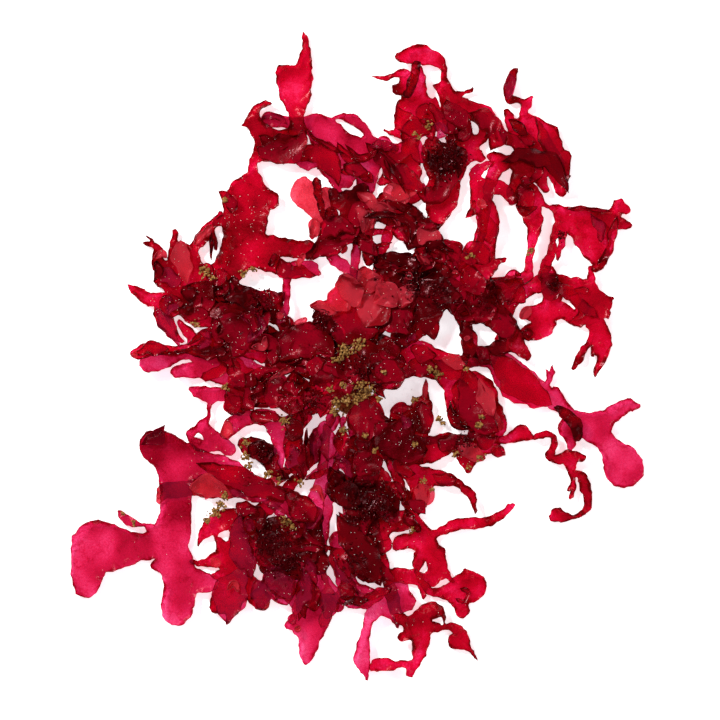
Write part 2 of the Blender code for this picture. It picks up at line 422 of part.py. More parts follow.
def spline(points, per_span=5):
    """A Catmull-Rom curve through the hand-picked (x, y, half-width) points."""
    p = np.array(points, float)
    if len(p) < 3:
        return p
    ends = np.vstack([2 * p[0] - p[1], p, 2 * p[-1] - p[-2]])
    made = []
    for i in range(len(p) - 1):
        a, b, c, d = ends[i:i + 4]
        for t in np.arange(per_span) / per_span:
            made.append(0.5 * (2 * b + (c - a) * t + (2 * a - 5 * b + 4 * c - d) * t * t
                               + (3 * b - 3 * c + d - a) * t ** 3))
    made.append(p[-1])
    made = np.array(made)
    made[:, 2] = np.maximum(made[:, 2], p[:, 2].min())
    return made


def stroke_depth(x, y, stroke):
    """How deep each point lies inside one tapered stroke, and the stroke's half-width there."""
    depth = np.full(np.shape(x), -1e9)
    width = np.zeros(np.shape(x))
    curve = spline(stroke)
    for (ax, ay, aw), (bx, by, bw) in zip(curve[:-1], curve[1:]):
        dx, dy = bx - ax, by - ay
        t = np.clip(((x - ax) * dx + (y - ay) * dy) / max(dx * dx + dy * dy, 1e-9), 0, 1)
        half = aw + t * (bw - aw)
        found = half - np.hypot(x - ax - t * dx, y - ay - t * dy)
        width = np.where(found > depth, half, width)
        depth = np.maximum(depth, found)
    return depth, width


def margin_noise(x, y, seed):
    """A smooth wandering between -1 and 1."""
    total = np.zeros(np.shape(x))
    for k, wavelength in enumerate((13.0, 8.5, 5.5)):
        turn = 1.7 * k + 0.9 * seed
        along = x * math.cos(turn) + y * math.sin(turn)
        across = y * math.cos(turn) - x * math.sin(turn)
        total = total + np.sin(2 * math.pi * along / wavelength + seed) * np.cos(
            2 * math.pi * across / (1.3 * wavelength) + 2 * seed)
    return total / 2.2


def blade_depth(x, y, strokes, seed):
    """Depth inside the smooth union of a frond's strokes, positive inside, and the local half-width."""
    depth, width = stroke_depth(x, y, strokes[0])
    for stroke in strokes[1:]:
        other, other_width = stroke_depth(x, y, stroke)
        blend = np.clip(0.5 + 0.5 * (other - depth) / FILLET, 0, 1)
        width = np.where(other > depth, other_width, width)
        depth = depth + blend * (other - depth) + FILLET * blend * (1 - blend) * 0.5
    return depth + MARGIN_WOBBLE * np.clip(width / 4, 0.3, 1) * margin_noise(x, y, seed), width


def outlines(depth, xs, ys):
    """The closed curves where depth crosses zero, walked with the blade on their left."""
    after = {}
    inside = depth > 0
    for j, i in zip(*np.nonzero(inside[:-1, :-1] | inside[1:, :-1] | inside[:-1, 1:] | inside[1:, 1:])):
        corners = ((j, i), (j, i + 1), (j + 1, i + 1), (j + 1, i))
        leaves = [k for k in range(4) if inside[corners[k]] and not inside[corners[(k + 1) % 4]]]
        enters = [k for k in range(4) if not inside[corners[k]] and inside[corners[(k + 1) % 4]]]
        for out in leaves:
            # The outline comes in by the nearest entering edge met when walking on round the cell.
            back = min(enters, key=lambda k: (k - out) % 4)
            edge_out = tuple(sorted((corners[out], corners[(out + 1) % 4])))
            edge_in = tuple(sorted((corners[back], corners[(back + 1) % 4])))
            after[edge_out] = edge_in
    loops = []
    while after:
        start, edge = after.popitem()
        loop = [start]
        while edge != start and edge in after:
            loop.append(edge)
            edge = after.pop(edge)
        points = []
        for (j0, i0), (j1, i1) in loop:
            t = depth[j0, i0] / (depth[j0, i0] - depth[j1, i1])
            points.append((xs[i0] + t * (xs[i1] - xs[i0]), ys[j0] + t * (ys[j1] - ys[j0])))
        loops.append(np.array(points))
    return loops


def enclosed_area(loop):
    x, y = loop[:, 0], loop[:, 1]
    return 0.5 * abs(np.dot(x, np.roll(y, -1)) - np.dot(y, np.roll(x, -1)))


def respaced(loop, widths):
    """The outline with its points set closer together where it bends."""
    reach = 3
    ahead, behind = np.roll(loop, -reach, axis=0) - loop, loop - np.roll(loop, reach, axis=0)
    cross = behind[:, 0] * ahead[:, 1] - behind[:, 1] * ahead[:, 0]
    turn = np.abs(np.arctan2(cross, (behind * ahead).sum(axis=1)))
    bend = turn / np.maximum(np.hypot(*ahead.T), 0.1)
    bend = np.maximum.reduce([np.roll(bend, k) for k in range(-2, 3)])
    steps = np.hypot(*(np.roll(loop, -1, axis=0) - loop).T)
    longest = np.clip(RIM_SPACING[0] + widths, *RIM_SPACING)
    spacing = np.clip(TURN_PER_POINT / np.maximum(bend, 1e-3), 0.55 * RIM_SPACING[0], longest)
    travelled = np.concatenate([[0], np.cumsum(steps / spacing)])
    closed = np.vstack([loop, loop[:1]])
    count = max(6, round(travelled[-1]))
    wanted = np.arange(count) * travelled[-1] / count
    return np.column_stack([np.interp(wanted, travelled, closed[:, k]) for k in (0, 1)])


def sheet_mesh(strokes, seed):
    """(points, triangles) of a frond's sheet, seen flat from above."""
    every = np.vstack([spline(s) for s in strokes])
    reach = every[:, 2].max() + 3
    fine = 0.7
    xs = np.arange(every[:, 0].min() - reach, every[:, 0].max() + reach, fine)
    ys = np.arange(every[:, 1].min() - reach, every[:, 1].max() + reach, fine)
    depth, _ = blade_depth(*np.meshgrid(xs, ys), strokes, seed)
    loops = sorted(outlines(depth, xs, ys), key=enclosed_area, reverse=True)
    smallest_hole = 3.0
    kept = [loops[0]]
    for loop in loops[1:]:
        middle_depth, _ = blade_depth(*loop.mean(axis=0), strokes, seed)
        if enclosed_area(loop) > smallest_hole and middle_depth < 0:
            kept.append(loop)
    points, edges, rims = [], [], []
    for loop in kept:
        rim = respaced(loop, blade_depth(loop[:, 0], loop[:, 1], strokes, seed)[1])
        first = len(points)
        rims.append(rim)
        points.extend(map(tuple, rim))
        edges.extend((first + k, first + (k + 1) % len(rim)) for k in range(len(rim)))
    clear_of_rim = 0.42 * MESH_SPACING
    rows = np.arange(ys[0], ys[-1], MESH_SPACING * math.sqrt(3) / 2)
    for n, row in enumerate(rows):
        across = np.arange(xs[0] + (n % 2) * MESH_SPACING / 2, xs[-1], MESH_SPACING)
        found, _ = blade_depth(across, np.full(len(across), row), strokes, seed)
        points.extend((x, row) for x, d in zip(across, found) if d > clear_of_rim)
    made = delaunay_2d_cdt([Vector(p) for p in points], edges, [], 0, 1e-5)
    flat = np.array([tuple(v) for v in made[0]])
    faces = np.array([f for f in made[2]])
    return one_sheet(flat, faces[enclosed(flat[faces].mean(axis=1), rims)])


def enclosed(points, rims):
    """Which points lie inside the rims, counting how many times a ray from each crosses them."""
    crossings = np.zeros(len(points), int)
    x, y = points[:, :1], points[:, 1:]
    for rim in rims:
        (ax, ay), (bx, by) = rim.T, np.roll(rim, -1, axis=0).T
        spans = (ay > y) != (by > y)
        rise = np.where(by == ay, 1, by - ay)
        crossings += (spans & (x < ax + (y - ay) * (bx - ax) / rise)).sum(axis=1)
    return crossings % 2 == 1


def one_sheet(points, faces):
    """The largest sheet whose triangles join edge to edge. Scraps that hang on by a corner are dropped."""
    build = bmesh.new()
    corners = [build.verts.new((x, y, 0)) for x, y in points]
    for face in faces:
        build.faces.new([corners[k] for k in face])
    pinched = True
    while pinched:
        left, sheets = set(build.faces), []
        while left:
            sheet, front = set(), [next(iter(left))]
            while front:
                face = front.pop()
                if face in left:
                    left.discard(face)
                    sheet.add(face)
                    front.extend(f for e in face.edges for f in e.link_faces)
            sheets.append(sheet)
        kept = max(sheets, key=len)
        bmesh.ops.delete(build, geom=[f for f in build.faces if f not in kept], context="FACES")
        pinched = [v for v in build.verts if sum(e.is_boundary for e in v.link_edges) > 2]
        if pinched:
            bmesh.ops.delete(build, geom=list({f for v in pinched for f in v.link_faces}), context="FACES")
    bmesh.ops.delete(build, geom=[v for v in build.verts if not v.link_faces], context="VERTS")
    build.verts.index_update()
    flat = np.array([v.co[:2] for v in build.verts])
    kept_faces = np.array([[v.index for v in f.verts] for f in build.faces])
    build.free()
    return flat, kept_faces


class Pile:
    """The top surface of everything laid down so far, on the ground grid, in millimetres."""

    def __init__(self):
        self.xs = np.arange(*GRID_X, CELL)
        self.ys = np.arange(*GRID_Y, CELL)
        self.x, self.y = np.meshgrid(self.xs, self.ys)
        self.top = np.zeros(self.x.shape)

    def sample(self, grid, points):
        """Bilinear reading of a grid at (x, y) points."""
        i = (points[:, 0] - GRID_X[0]) / CELL
        j = (points[:, 1] - GRID_Y[0]) / CELL
        i0, j0 = np.floor(i).astype(int), np.floor(j).astype(int)
        u, v = i - i0, j - j0
        return ((1 - u) * (1 - v) * grid[j0, i0] + u * (1 - v) * grid[j0, i0 + 1]
                + (1 - u) * v * grid[j0 + 1, i0] + u * v * grid[j0 + 1, i0 + 1])

    def add(self, cells, heights):
        """Raises the top to these heights over the (rows, columns) cells."""
        np.maximum.at(self.top, cells, heights)


def neighbours(grid, dj, di):
    return np.roll(np.roll(grid, dj, axis=0), di, axis=1)


AROUND = [(dj, di) for dj in (-1, 0, 1) for di in (-1, 0, 1) if (dj, di) != (0, 0)]


def spread(grid, fall, rounds):
    """Each cell raised to its neighbours' heights less the fall over the distance to them."""
    for _ in range(rounds):
        best = grid
        for dj, di in AROUND:
            best = np.maximum(best, neighbours(grid, dj, di) - fall * CELL * math.hypot(dj, di))
        if np.allclose(best, grid):
            break
        grid = best
    return grid


def blurred(grid, rounds):
    for _ in range(rounds):
        grid = (2 * grid + neighbours(grid, 1, 0) + neighbours(grid, -1, 0)) / 4
        grid = (2 * grid + neighbours(grid, 0, 1) + neighbours(grid, 0, -1)) / 4
    return grid


def triangle_cells(corners):
    """(rows, columns, x, y, weights) of the ground cells under one triangle, with half a cell to spare."""
    (x0, y0), (x1, y1) = corners[:, :2].min(axis=0) - CELL, corners[:, :2].max(axis=0) + CELL
    i = np.arange(math.floor((x0 - GRID_X[0]) / CELL), math.ceil((x1 - GRID_X[0]) / CELL) + 1)
    j = np.arange(math.floor((y0 - GRID_Y[0]) / CELL), math.ceil((y1 - GRID_Y[0]) / CELL) + 1)
    i, j = (g.ravel() for g in np.meshgrid(i, j))
    x, y = GRID_X[0] + i * CELL, GRID_Y[0] + j * CELL
    a, b, c = corners[:, :2]
    area = (b[0] - a[0]) * (c[1] - a[1]) - (c[0] - a[0]) * (b[1] - a[1])
    wb = ((x - a[0]) * (c[1] - a[1]) - (c[0] - a[0]) * (y - a[1])) / area
    wc = ((b[0] - a[0]) * (y - a[1]) - (x - a[0]) * (b[1] - a[1])) / area
    weights = np.column_stack([1 - wb - wc, wb, wc])
    longest_side = max(np.hypot(*(b - c)), np.hypot(*(a - c)), np.hypot(*(a - b)))
    spare = 0.75 * CELL * longest_side / max(abs(area), 1e-6)
    hit = (weights > -spare).all(axis=1)
    weights = np.clip(weights[hit], 0, 1)
    return j[hit], i[hit], weights / weights.sum(axis=1, keepdims=True)


def half_rise(corners):
    """Half the blade's thickness, measured upright on a sloping triangle."""
    normal = np.cross(corners[1] - corners[0], corners[2] - corners[0])
    upright = abs(normal[2]) / max(np.linalg.norm(normal), 1e-9)
    return 0.5 * BLADE_THICKNESS / max(upright, 0.35)


def lay_down(pile, points, faces, depth, covered, ruffle, seed):
    """Heights of a frond's points when it is laid on the pile, which then includes it."""
    own = depth > -2.0  # the ground that the blade feels beneath and just beside it
    need = np.where(own & (pile.top > 0), pile.top + LAYER_GAP, 0.0)
    rest = blurred(spread(spread(need, 0.0, 1), DRAPE_SLOPE, 40), 2)
    waves = np.clip(0.5 + 0.5 * margin_noise(pile.x / 2.3, pile.y / 2.3, seed + 3), 0, 1.2)
    near_margin = np.clip(1 - depth / RUFFLE_REACH, 0, 1) ** 1.5
    off_ground = 0.02
    raised = rest + ruffle * near_margin * waves * (1 - covered)
    z = pile.sample(raised, points) + 0.5 * BLADE_THICKNESS + off_ground
    cells = [triangle_cells(points[f]) for f in faces]
    below = np.where(pile.top > 0, pile.top + 0.6 * LAYER_GAP, off_ground)
    for _ in range(30):
        lift = np.zeros(len(points))
        for face, (j, i, weights) in zip(faces, cells):
            corners = np.column_stack([points[face], z[face]])
            under = weights @ z[face] - half_rise(corners)
            short = (below[j, i] - under).max(initial=0)
            if short > 1e-3:
                lift[face] = np.maximum(lift[face], short + off_ground)
        if not lift.any():
            break
        z = z + lift
    for face, (j, i, weights) in zip(faces, cells):
        corners = np.column_stack([points[face], z[face]])
        pile.add((j, i), weights @ z[face] + half_rise(corners))
    return z


def swell(x, y):
    """The plant's shared low waves, which are nothing over much of the ground so that it lies there."""
    wave = (np.sin(x / 17.0 + 0.6) * np.cos(y / 21.0 - 0.4) + 0.6 * np.sin((x + y) / 13.0 + 1.9))
    away = np.clip((np.hypot(x, y) - HOLDFAST_RADIUS - 2) / 15, 0, 1)
    return SWELL_HEIGHT * np.clip(wave, 0, None) * away


def material(name, colour, roughness):
    made = bpy.data.materials.new(name)
    made.use_nodes = True
    shader = made.node_tree.nodes["Principled BSDF"]
    shader.inputs["Base Color"].default_value = (*colour, 1)
    shader.inputs["Roughness"].default_value = roughness
    shader.inputs["Metallic"].default_value = 0
    return made


def frond_object(name, points, z, faces, finish, collection):
    """One closed blade: the laid-down sheet, thickened evenly on both sides."""
    mesh = bpy.data.meshes.new(name)
    corners = [(x * MM, y * MM, h * MM) for (x, y), h in zip(points, z)]
    mesh.from_pydata(corners, [], [tuple(int(k) for k in f) for f in faces])
    build = bmesh.new()
    build.from_mesh(mesh)
    bmesh.ops.recalc_face_normals(build, faces=build.faces)
    if sum(f.normal.z for f in build.faces) < 0:
        bmesh.ops.reverse_faces(build, faces=build.faces)
    build.to_mesh(mesh)
    build.free()
    mesh.shade_smooth()
    mesh.materials.append(finish)
    obj = bpy.data.objects.new(name, mesh)
    collection.objects.link(obj)
    solid = obj.modifiers.new("thickness", "SOLIDIFY")
    solid.thickness = BLADE_THICKNESS * MM
    solid.offset = 0
    solid.use_even_offset = False
    return obj


def holdfast_object(finish, collection):
    """The low disc that held the plant to the rock, turned from a domed profile."""
    profile = bpy.data.meshes.new("holdfast")
    top, radius = HOLDFAST_HEIGHT * MM, HOLDFAST_RADIUS * MM
    outline = [(0, top), (0.35 * radius, 0.96 * top), (0.7 * radius, 0.72 * top),
               (0.93 * radius, 0.42 * top), (radius, 0.2 * top), (0.94 * radius, 0), (0, 0)]
    profile.from_pydata([(x, 0, z) for x, z in outline], [(k, k + 1) for k in range(len(outline) - 1)], [])
    profile.materials.append(finish)
    obj = bpy.data.objects.new("holdfast", profile)
    collection.objects.link(obj)
    turn = obj.modifiers.new("turn", "SCREW")
    turn.steps = turn.render_steps = 20
    turn.use_merge_vertices = True
    turn.merge_threshold = 0.00001
    return obj


def main():
    clear_scene()
    plant = bpy.data.collections.new("red_seaweed_plant")
    bpy.context.scene.collection.children.link(plant)
    finishes = {}
    pile = Pile()
    from_middle = np.hypot(pile.x, pile.y)
    pile.top = np.where(from_middle < HOLDFAST_RADIUS + 1, HOLDFAST_HEIGHT, 0.0)
    holdfast_object(material("holdfast_brown", HOLDFAST_BROWN, 0.6), plant)
    depths = [blade_depth(pile.x, pile.y, strokes, seed)[0] for seed, (*_, strokes) in enumerate(FRONDS)]
    for seed, (name, colour, ruffle, strokes) in enumerate(FRONDS):
        if colour not in finishes:
            finishes[colour] = material(f"blade_{len(finishes)}", colour, 0.35)
        points, faces = sheet_mesh(strokes, seed)
        above = np.maximum.reduce([np.clip(d / 2 + 1.5, 0, 1) for d in depths[seed + 1:]] or [0 * pile.x])
        z = lay_down(pile, points, faces, depths[seed], blurred(above, 2), ruffle, seed)
        z = z + swell(points[:, 0], points[:, 1])
        frond_object(name, points, z, faces, finishes[colour], plant)


main()
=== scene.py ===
import math
import random

import bmesh
import bpy
import numpy as np
from mathutils import Matrix, Vector
from mathutils.bvhtree import BVHTree
from mathutils.kdtree import KDTree


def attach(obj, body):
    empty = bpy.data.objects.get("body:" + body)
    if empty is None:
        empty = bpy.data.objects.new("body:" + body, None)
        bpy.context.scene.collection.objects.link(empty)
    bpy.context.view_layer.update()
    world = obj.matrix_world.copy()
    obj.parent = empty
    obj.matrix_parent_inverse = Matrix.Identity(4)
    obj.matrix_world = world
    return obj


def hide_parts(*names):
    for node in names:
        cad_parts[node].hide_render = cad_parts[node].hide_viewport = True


mm = 0.001
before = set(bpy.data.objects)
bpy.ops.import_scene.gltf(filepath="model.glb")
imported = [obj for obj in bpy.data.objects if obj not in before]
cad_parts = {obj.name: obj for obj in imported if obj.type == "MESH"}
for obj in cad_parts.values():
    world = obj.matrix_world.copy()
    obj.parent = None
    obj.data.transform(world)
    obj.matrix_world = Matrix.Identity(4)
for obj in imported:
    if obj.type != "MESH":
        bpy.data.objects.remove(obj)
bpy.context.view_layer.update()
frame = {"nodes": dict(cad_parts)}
bpy.ops.object.select_all(action="DESELECT")
print("frame loaded:", len(frame["nodes"]), "nodes")


# Camera, floor and light

studio = {
    "middle": (3.6 * mm, 16.2 * mm),  # the point of the floor under the camera
    "across": 324 * mm,  # of the floor, from side to side of the picture
    "cameraHeight": 1.3,
    "sensor": 36.0,
    "clip": (0.05, 20),
    "clearLayers": 40,  # light goes through many blades in the pile
    "floorSide": 6.0,
    "floorColour": (0.93, 0.93, 0.93, 1),
    "floorGlow": 0.6,
    "floorGlowColour": (1.0, 0.925, 0.965, 1),  # shadows on the paper are faintly lilac
    "skyStrength": 0.28,
    # name, place, size across, power in watts
    "lamps": [
        ("keyLamp", (-0.75, 0.70, 0.85), 0.3, 20.0),
        ("fillLampRight", (1.0, 0.15, 0.75), 0.45, 3.5),
        ("fillLampFront", (0.05, -1.0, 0.8), 0.45, 3.5),
    ],
}


# Each input gets a value, or a link from the socket given for it.
def setInputs(tree, node, inputs):
    for name, value in inputs.items():
        if isinstance(value, bpy.types.NodeSocket):
            tree.links.new(value, node.inputs[name])
        else:
            node.inputs[name].default_value = value


def newMaterial(name, roughness, specular):
    made = bpy.data.materials.new(name)
    made.use_nodes = True
    shader = made.node_tree.nodes["Principled BSDF"]
    setInputs(made.node_tree, shader, {"Roughness": roughness, "Specular IOR Level": specular})
    return made, made.node_tree, shader


def buildStudio():
    scene = bpy.context.scene
    scene.view_settings.view_transform = "Standard"
    scene.cycles.transparent_max_bounces = studio["clearLayers"]
    x, y = studio["middle"]
    bpy.ops.object.camera_add(location=(x, y, studio["cameraHeight"]), rotation=(0, 0, 0))
    camera = bpy.context.object
    camera.name = "photoCamera"
    camera.data.sensor_width = studio["sensor"]
    camera.data.lens = studio["sensor"] * studio["cameraHeight"] / studio["across"]
    camera.data.clip_start, camera.data.clip_end = studio["clip"]
    scene.camera = camera

    bpy.ops.mesh.primitive_plane_add(size=studio["floorSide"], location=(x, y, 0))
    floor = bpy.context.object
    floor.name = "paleFloor"
    paint, tree, shader = newMaterial("whitePaper", roughness=0.9, specular=0.1)
    setInputs(tree, shader, {"Base Color": studio["floorColour"], "Emission Color": studio["floorGlowColour"],
                             "Emission Strength": studio["floorGlow"]})
    floor.data.materials.append(paint)
    bpy.ops.object.transform_apply(location=True, rotation=False, scale=False)

    world = bpy.data.worlds.new("softRoom")
    world.use_nodes = True
    setInputs(world.node_tree, world.node_tree.nodes["Background"],
              {"Color": (1, 1, 1, 1), "Strength": studio["skyStrength"]})
    scene.world = world
    world.cycles_visibility.glossy = False  # wet blades shine by the lamps alone

    aim = Vector((x, y, 0))
    for name, place, across, power in studio["lamps"]:
        bpy.ops.object.light_add(type="AREA", location=place)
        lamp = bpy.context.object
        lamp.name = name
        lamp.data.shape = "DISK"
        lamp.data.size = across
        lamp.data.energy = power
        lamp.rotation_euler = (aim - Vector(place)).to_track_quat("-Z", "Y").to_euler()
    print("studio built")


buildStudio()


# Shared shading: the tissue of a blade

def newSocket(group, name, kind, value=None, direction="INPUT"):
    socket = group.interface.new_socket(name=name, in_out=direction, socket_type=kind)
    if value is not None:
        socket.default_value = value


def addNode(tree, kind, inputs={}, **settings):
    node = tree.nodes.new(kind)
    for name, value in settings.items():
        setattr(node, name, value)
    setInputs(tree, node, inputs)
    return node


def maths(tree, operation, *values):
    return addNode(tree, "ShaderNodeMath", dict(enumerate(values)), operation=operation).outputs[0]


def mapped(tree, value, low, high, toLow=0.0, toHigh=1.0):
    return addNode(tree, "ShaderNodeMapRange", {"Value": value, "From Min": low, "From Max": high,
                                                "To Min": toLow, "To Max": toHigh},
                   interpolation_type="SMOOTHSTEP").outputs["Result"]


# Noise whose features are about size across, in metres.
def noiseAt(tree, place, size, detail=2.0, roughness=0.5):
    return addNode(tree, "ShaderNodeTexNoise", {"Vector": place, "Scale": 1 / size, "Detail": detail,
                                                "Roughness": roughness}).outputs["Fac"]


def addRelief(tree, shader, height, depth, strength=1.0):
    relief = addNode(tree, "ShaderNodeBump", {"Strength": strength, "Distance": depth, "Height": height})
    tree.links.new(relief.outputs["Normal"], shader.inputs["Normal"])


def ownPlace(tree):
    return addNode(tree, "ShaderNodeTexCoord").outputs["Object"]


tissue = {
    "blotchSize": 19 * mm,
    "clotSize": 4.2 * mm,
    "grainSize": 0.9 * mm,
    # the noise from and to, and the change of thickness from and to
    "blotches": (0.32, 0.68, -0.5, 0.5),
    "clots": (0.35, 0.7, -0.2, 0.35),
    "grains": (0.3, 0.7, -0.12, 0.12),
    "least": 0.25,  # of the usual thickness
    "wrinkleSize": 7.0 * mm,
    # wrinkles are grooves in the fine relief with painted shade along them: the noise from and to, and the
    # change of thickness from and to
    "wrinkleGroovesAndShade": (0.0, 0.022, 0.4, 0),
    "wrinkledWhere": (0.42, 0.6),
    "marginBank": 11 * mm,
    "bankSpan": (0.35, 0.7),
    "marginWidth": (0.35, 2.4),  # in mm, as the attribute marginDistance is
    "marginFade": (0.1, 1),
    "marginShade": 1.6,  # how much more colour the margin holds: partly thickened tissue, partly painted shade at the curled edge
    "marginClots": (0.38, 0.6, 0.1, 1.0),
    "steepest": 0.3,  # upward part of the normal past which steepness adds no more painted shade
    # painted shade: steeper faces hold more colour, for the longer way light goes through a tilted blade
    "paintedSlopeShade": 0.8,
    "relief": (0.7, 0.3, 0.4),  # heights of clots, of grains and of wrinkles
}


# How much colour the blade holds at each place: its own tone, with painted shade on steep faces, in wrinkle
# grooves, at the curled margin and deep in the pile. Also the height of its fine relief.
def tissueGroup():
    group = bpy.data.node_groups.new("bladeTissue", "ShaderNodeTree")
    newSocket(group, "Clear Colour", "NodeSocketColor", (0.9, 0.4, 0.55, 1))
    for name in ("Blotches", "Clots", "Rim"):
        newSocket(group, name, "NodeSocketFloat", 1.0)
    newSocket(group, "Tint", "NodeSocketColor", direction="OUTPUT")
    newSocket(group, "Thickness", "NodeSocketFloat", direction="OUTPUT")
    newSocket(group, "Height", "NodeSocketFloat", direction="OUTPUT")
    start = addNode(group, "NodeGroupInput").outputs
    end = addNode(group, "NodeGroupOutput")

    def plus(*values):
        return maths(group, "ADD", *values)

    def minus(*values):
        return maths(group, "SUBTRACT", *values)

    def times(*values):
        return maths(group, "MULTIPLY", *values)

    def keptOnPoints(name):
        node = addNode(group, "ShaderNodeAttribute", attribute_type="GEOMETRY", attribute_name=name)
        return node.outputs["Fac"]

    place = ownPlace(group)
    blotch = noiseAt(group, place, tissue["blotchSize"], 1)
    clot = noiseAt(group, place, tissue["clotSize"], 3, 0.6)
    grain = noiseAt(group, place, tissue["grainSize"], 2)
    # Wrinkles: grooves in the fine relief, with painted shade along them.
    ridge = maths(group, "ABSOLUTE", minus(noiseAt(group, place, tissue["wrinkleSize"], 3), 0.5))
    creaseGrooveAndShade = times(mapped(group, ridge, *tissue["wrinkleGroovesAndShade"]), mapped(group, clot, *tissue["wrinkledWhere"]))
    # The margin holds more colour: partly thicker tissue, partly painted shade where light bends and runs
    # long through the curled edge.
    bank = noiseAt(group, place, tissue["marginBank"], 1)
    rimWidth = mapped(group, bank, *tissue["bankSpan"], *tissue["marginWidth"])
    rimShade = mapped(group, maths(group, "DIVIDE", keptOnPoints("marginDistance"), rimWidth),
                      *tissue["marginFade"], tissue["marginShade"], 0)
    rimShade = times(times(rimShade, mapped(group, clot, *tissue["marginClots"])), start["Rim"])
    # Painted shade: steep faces hold more colour, for the longer way light goes through a tilted blade.
    facing = addNode(group, "ShaderNodeNewGeometry").outputs["True Normal"]
    normal = addNode(group, "ShaderNodeSeparateXYZ", {"Vector": facing})
    upright = maths(group, "MAXIMUM", maths(group, "ABSOLUTE", normal.outputs["Z"]), tissue["steepest"])
    paintedSteepShade = times(minus(maths(group, "DIVIDE", 1.0, upright), 1.0), tissue["paintedSlopeShade"])
    uneven = plus(times(mapped(group, blotch, *tissue["blotches"]), start["Blotches"]),
                  times(mapped(group, clot, *tissue["clots"]), start["Clots"]))
    uneven = plus(plus(uneven, mapped(group, grain, *tissue["grains"])), creaseGrooveAndShade)
    thickness = plus(plus(uneven, 1.0), plus(rimShade, paintedSteepShade))
    # times the blades' own tone and the painted shade of the deep pile, kept on their points
    thickness = times(maths(group, "MAXIMUM", thickness, tissue["least"]), keptOnPoints("toneAndPaintedShade"))
    tint = addNode(group, "ShaderNodeGamma", {"Color": start["Clear Colour"], "Gamma": thickness})
    clotHeight, grainHeight, wrinkleDepth = tissue["relief"]
    height = maths(group, "MULTIPLY_ADD", clot, clotHeight, times(grain, grainHeight))
    height = minus(height, times(creaseGrooveAndShade, wrinkleDepth))
    setInputs(group, end, {"Tint": tint.outputs["Color"], "Thickness": thickness, "Height": height})
    return group


bladeTissue = tissueGroup()

# How each colour of blade looks. "through" is what one face of the blade lets pass, "solid" the share of
# light that its surface stops, "thin" and "thick" the colours of that surface, and "rim" how much of the
# margin's extra colour it shows.
lookNames = ("through", "solid", "thin", "thick", "blotches", "clots", "rim", "roughness")
looks = [
    ("rose", (0.845, 0.2, 0.4), 0.17, (0.58, 0.018, 0.09), (0.2, 0.001, 0.012), 0.6, 0.12, 0.9, 0.2),
    ("crimson", (0.86, 0.065, 0.23), 0.3, (0.47, 0.0025, 0.024), (0.12, 0.0004, 0.002), 0.8, 0.35, 1.0, 0.2),
    ("scarlet", (0.92, 0.26, 0.35), 0.4, (0.68, 0.04, 0.07), (0.22, 0.002, 0.006), 0.6, 0.3, 0.3, 0.3),
    ("maroon", (0.7, 0.03, 0.09), 0.45, (0.2, 0.001, 0.006), (0.05, 0.0002, 0.001), 0.8, 1.0, 1.0, 0.22),
]
finishes = {name + "_blade": dict(zip(lookNames, look)) for name, *look in looks}
rose, crimson, scarlet, maroon = finishes

wetCoat = {
    "specular": 0.22,
    "specularTint": (1, 0.5, 0.55, 1),
    "bump": 0.5,
    "bumpDepth": 0.5 * mm,
    "bodySpan": (0.8, 2.8),  # thickness at which the surface has its thin and its thick colour
}


def bladeMaterial(slot):
    look = finishes[slot]
    made, tree, shader = newMaterial(slot.replace("_", " "), look["roughness"], wetCoat["specular"])
    tissueOf = addNode(tree, "ShaderNodeGroup", node_tree=bladeTissue)
    setInputs(tree, tissueOf, {"Clear Colour": (*look["through"], 1), "Blotches": look["blotches"],
                               "Clots": look["clots"], "Rim": look["rim"]})
    thickness = tissueOf.outputs["Thickness"]
    share = mapped(tree, thickness, *wetCoat["bodySpan"])
    body = addNode(tree, "ShaderNodeMix", data_type="RGBA")
    setInputs(tree, body, {"A": (*look["thin"], 1), "B": (*look["thick"], 1), "Factor": share})
    setInputs(tree, shader, {"Base Color": body.outputs["Result"], "Specular Tint": wetCoat["specularTint"]})
    addRelief(tree, shader, tissueOf.outputs["Height"], wetCoat["bumpDepth"], wetCoat["bump"])
    clear = addNode(tree, "ShaderNodeBsdfTransparent", {"Color": tissueOf.outputs["Tint"]})
    stopped = maths(tree, "SUBTRACT", 1.0, maths(tree, "POWER", 1 - look["solid"], thickness))
    mixed = addNode(tree, "ShaderNodeMixShader", {"Fac": stopped, 1: clear.outputs[0], 2: shader.outputs[0]})
    tree.links.new(mixed.outputs[0], tree.nodes["Material Output"].inputs["Surface"])
    return made


materials = {slot: bladeMaterial(slot) for slot in finishes}

# Every blade that isn't named here is crimson
slotOfNode = dict.fromkeys(frame["nodes"], crimson)
slotOfNode |= dict.fromkeys((
    "blade_arch", "blade_low_rose", "blade_slant", "blade_small_rose", "blade_twisted_strap",
    "frond_bottom", "frond_bottom_mid", "frond_low_left", "frond_lower_left_fork", "frond_right_fork",
    "frond_top_plum",
), rose)
slotOfNode |= dict.fromkeys(("blade_pale_pair", "frond_pale_left"), scarlet)
slotOfNode |= dict.fromkeys((
    "blade_centre_dark", "blade_centre_right", "blade_centre_top", "blade_curl_top",
    "blade_fold_right", "blade_left_dark", "blade_left_lump", "blade_left_plum",
    "blade_low_left_mass", "blade_ring",
), maroon)
print("materials built")


# Blades

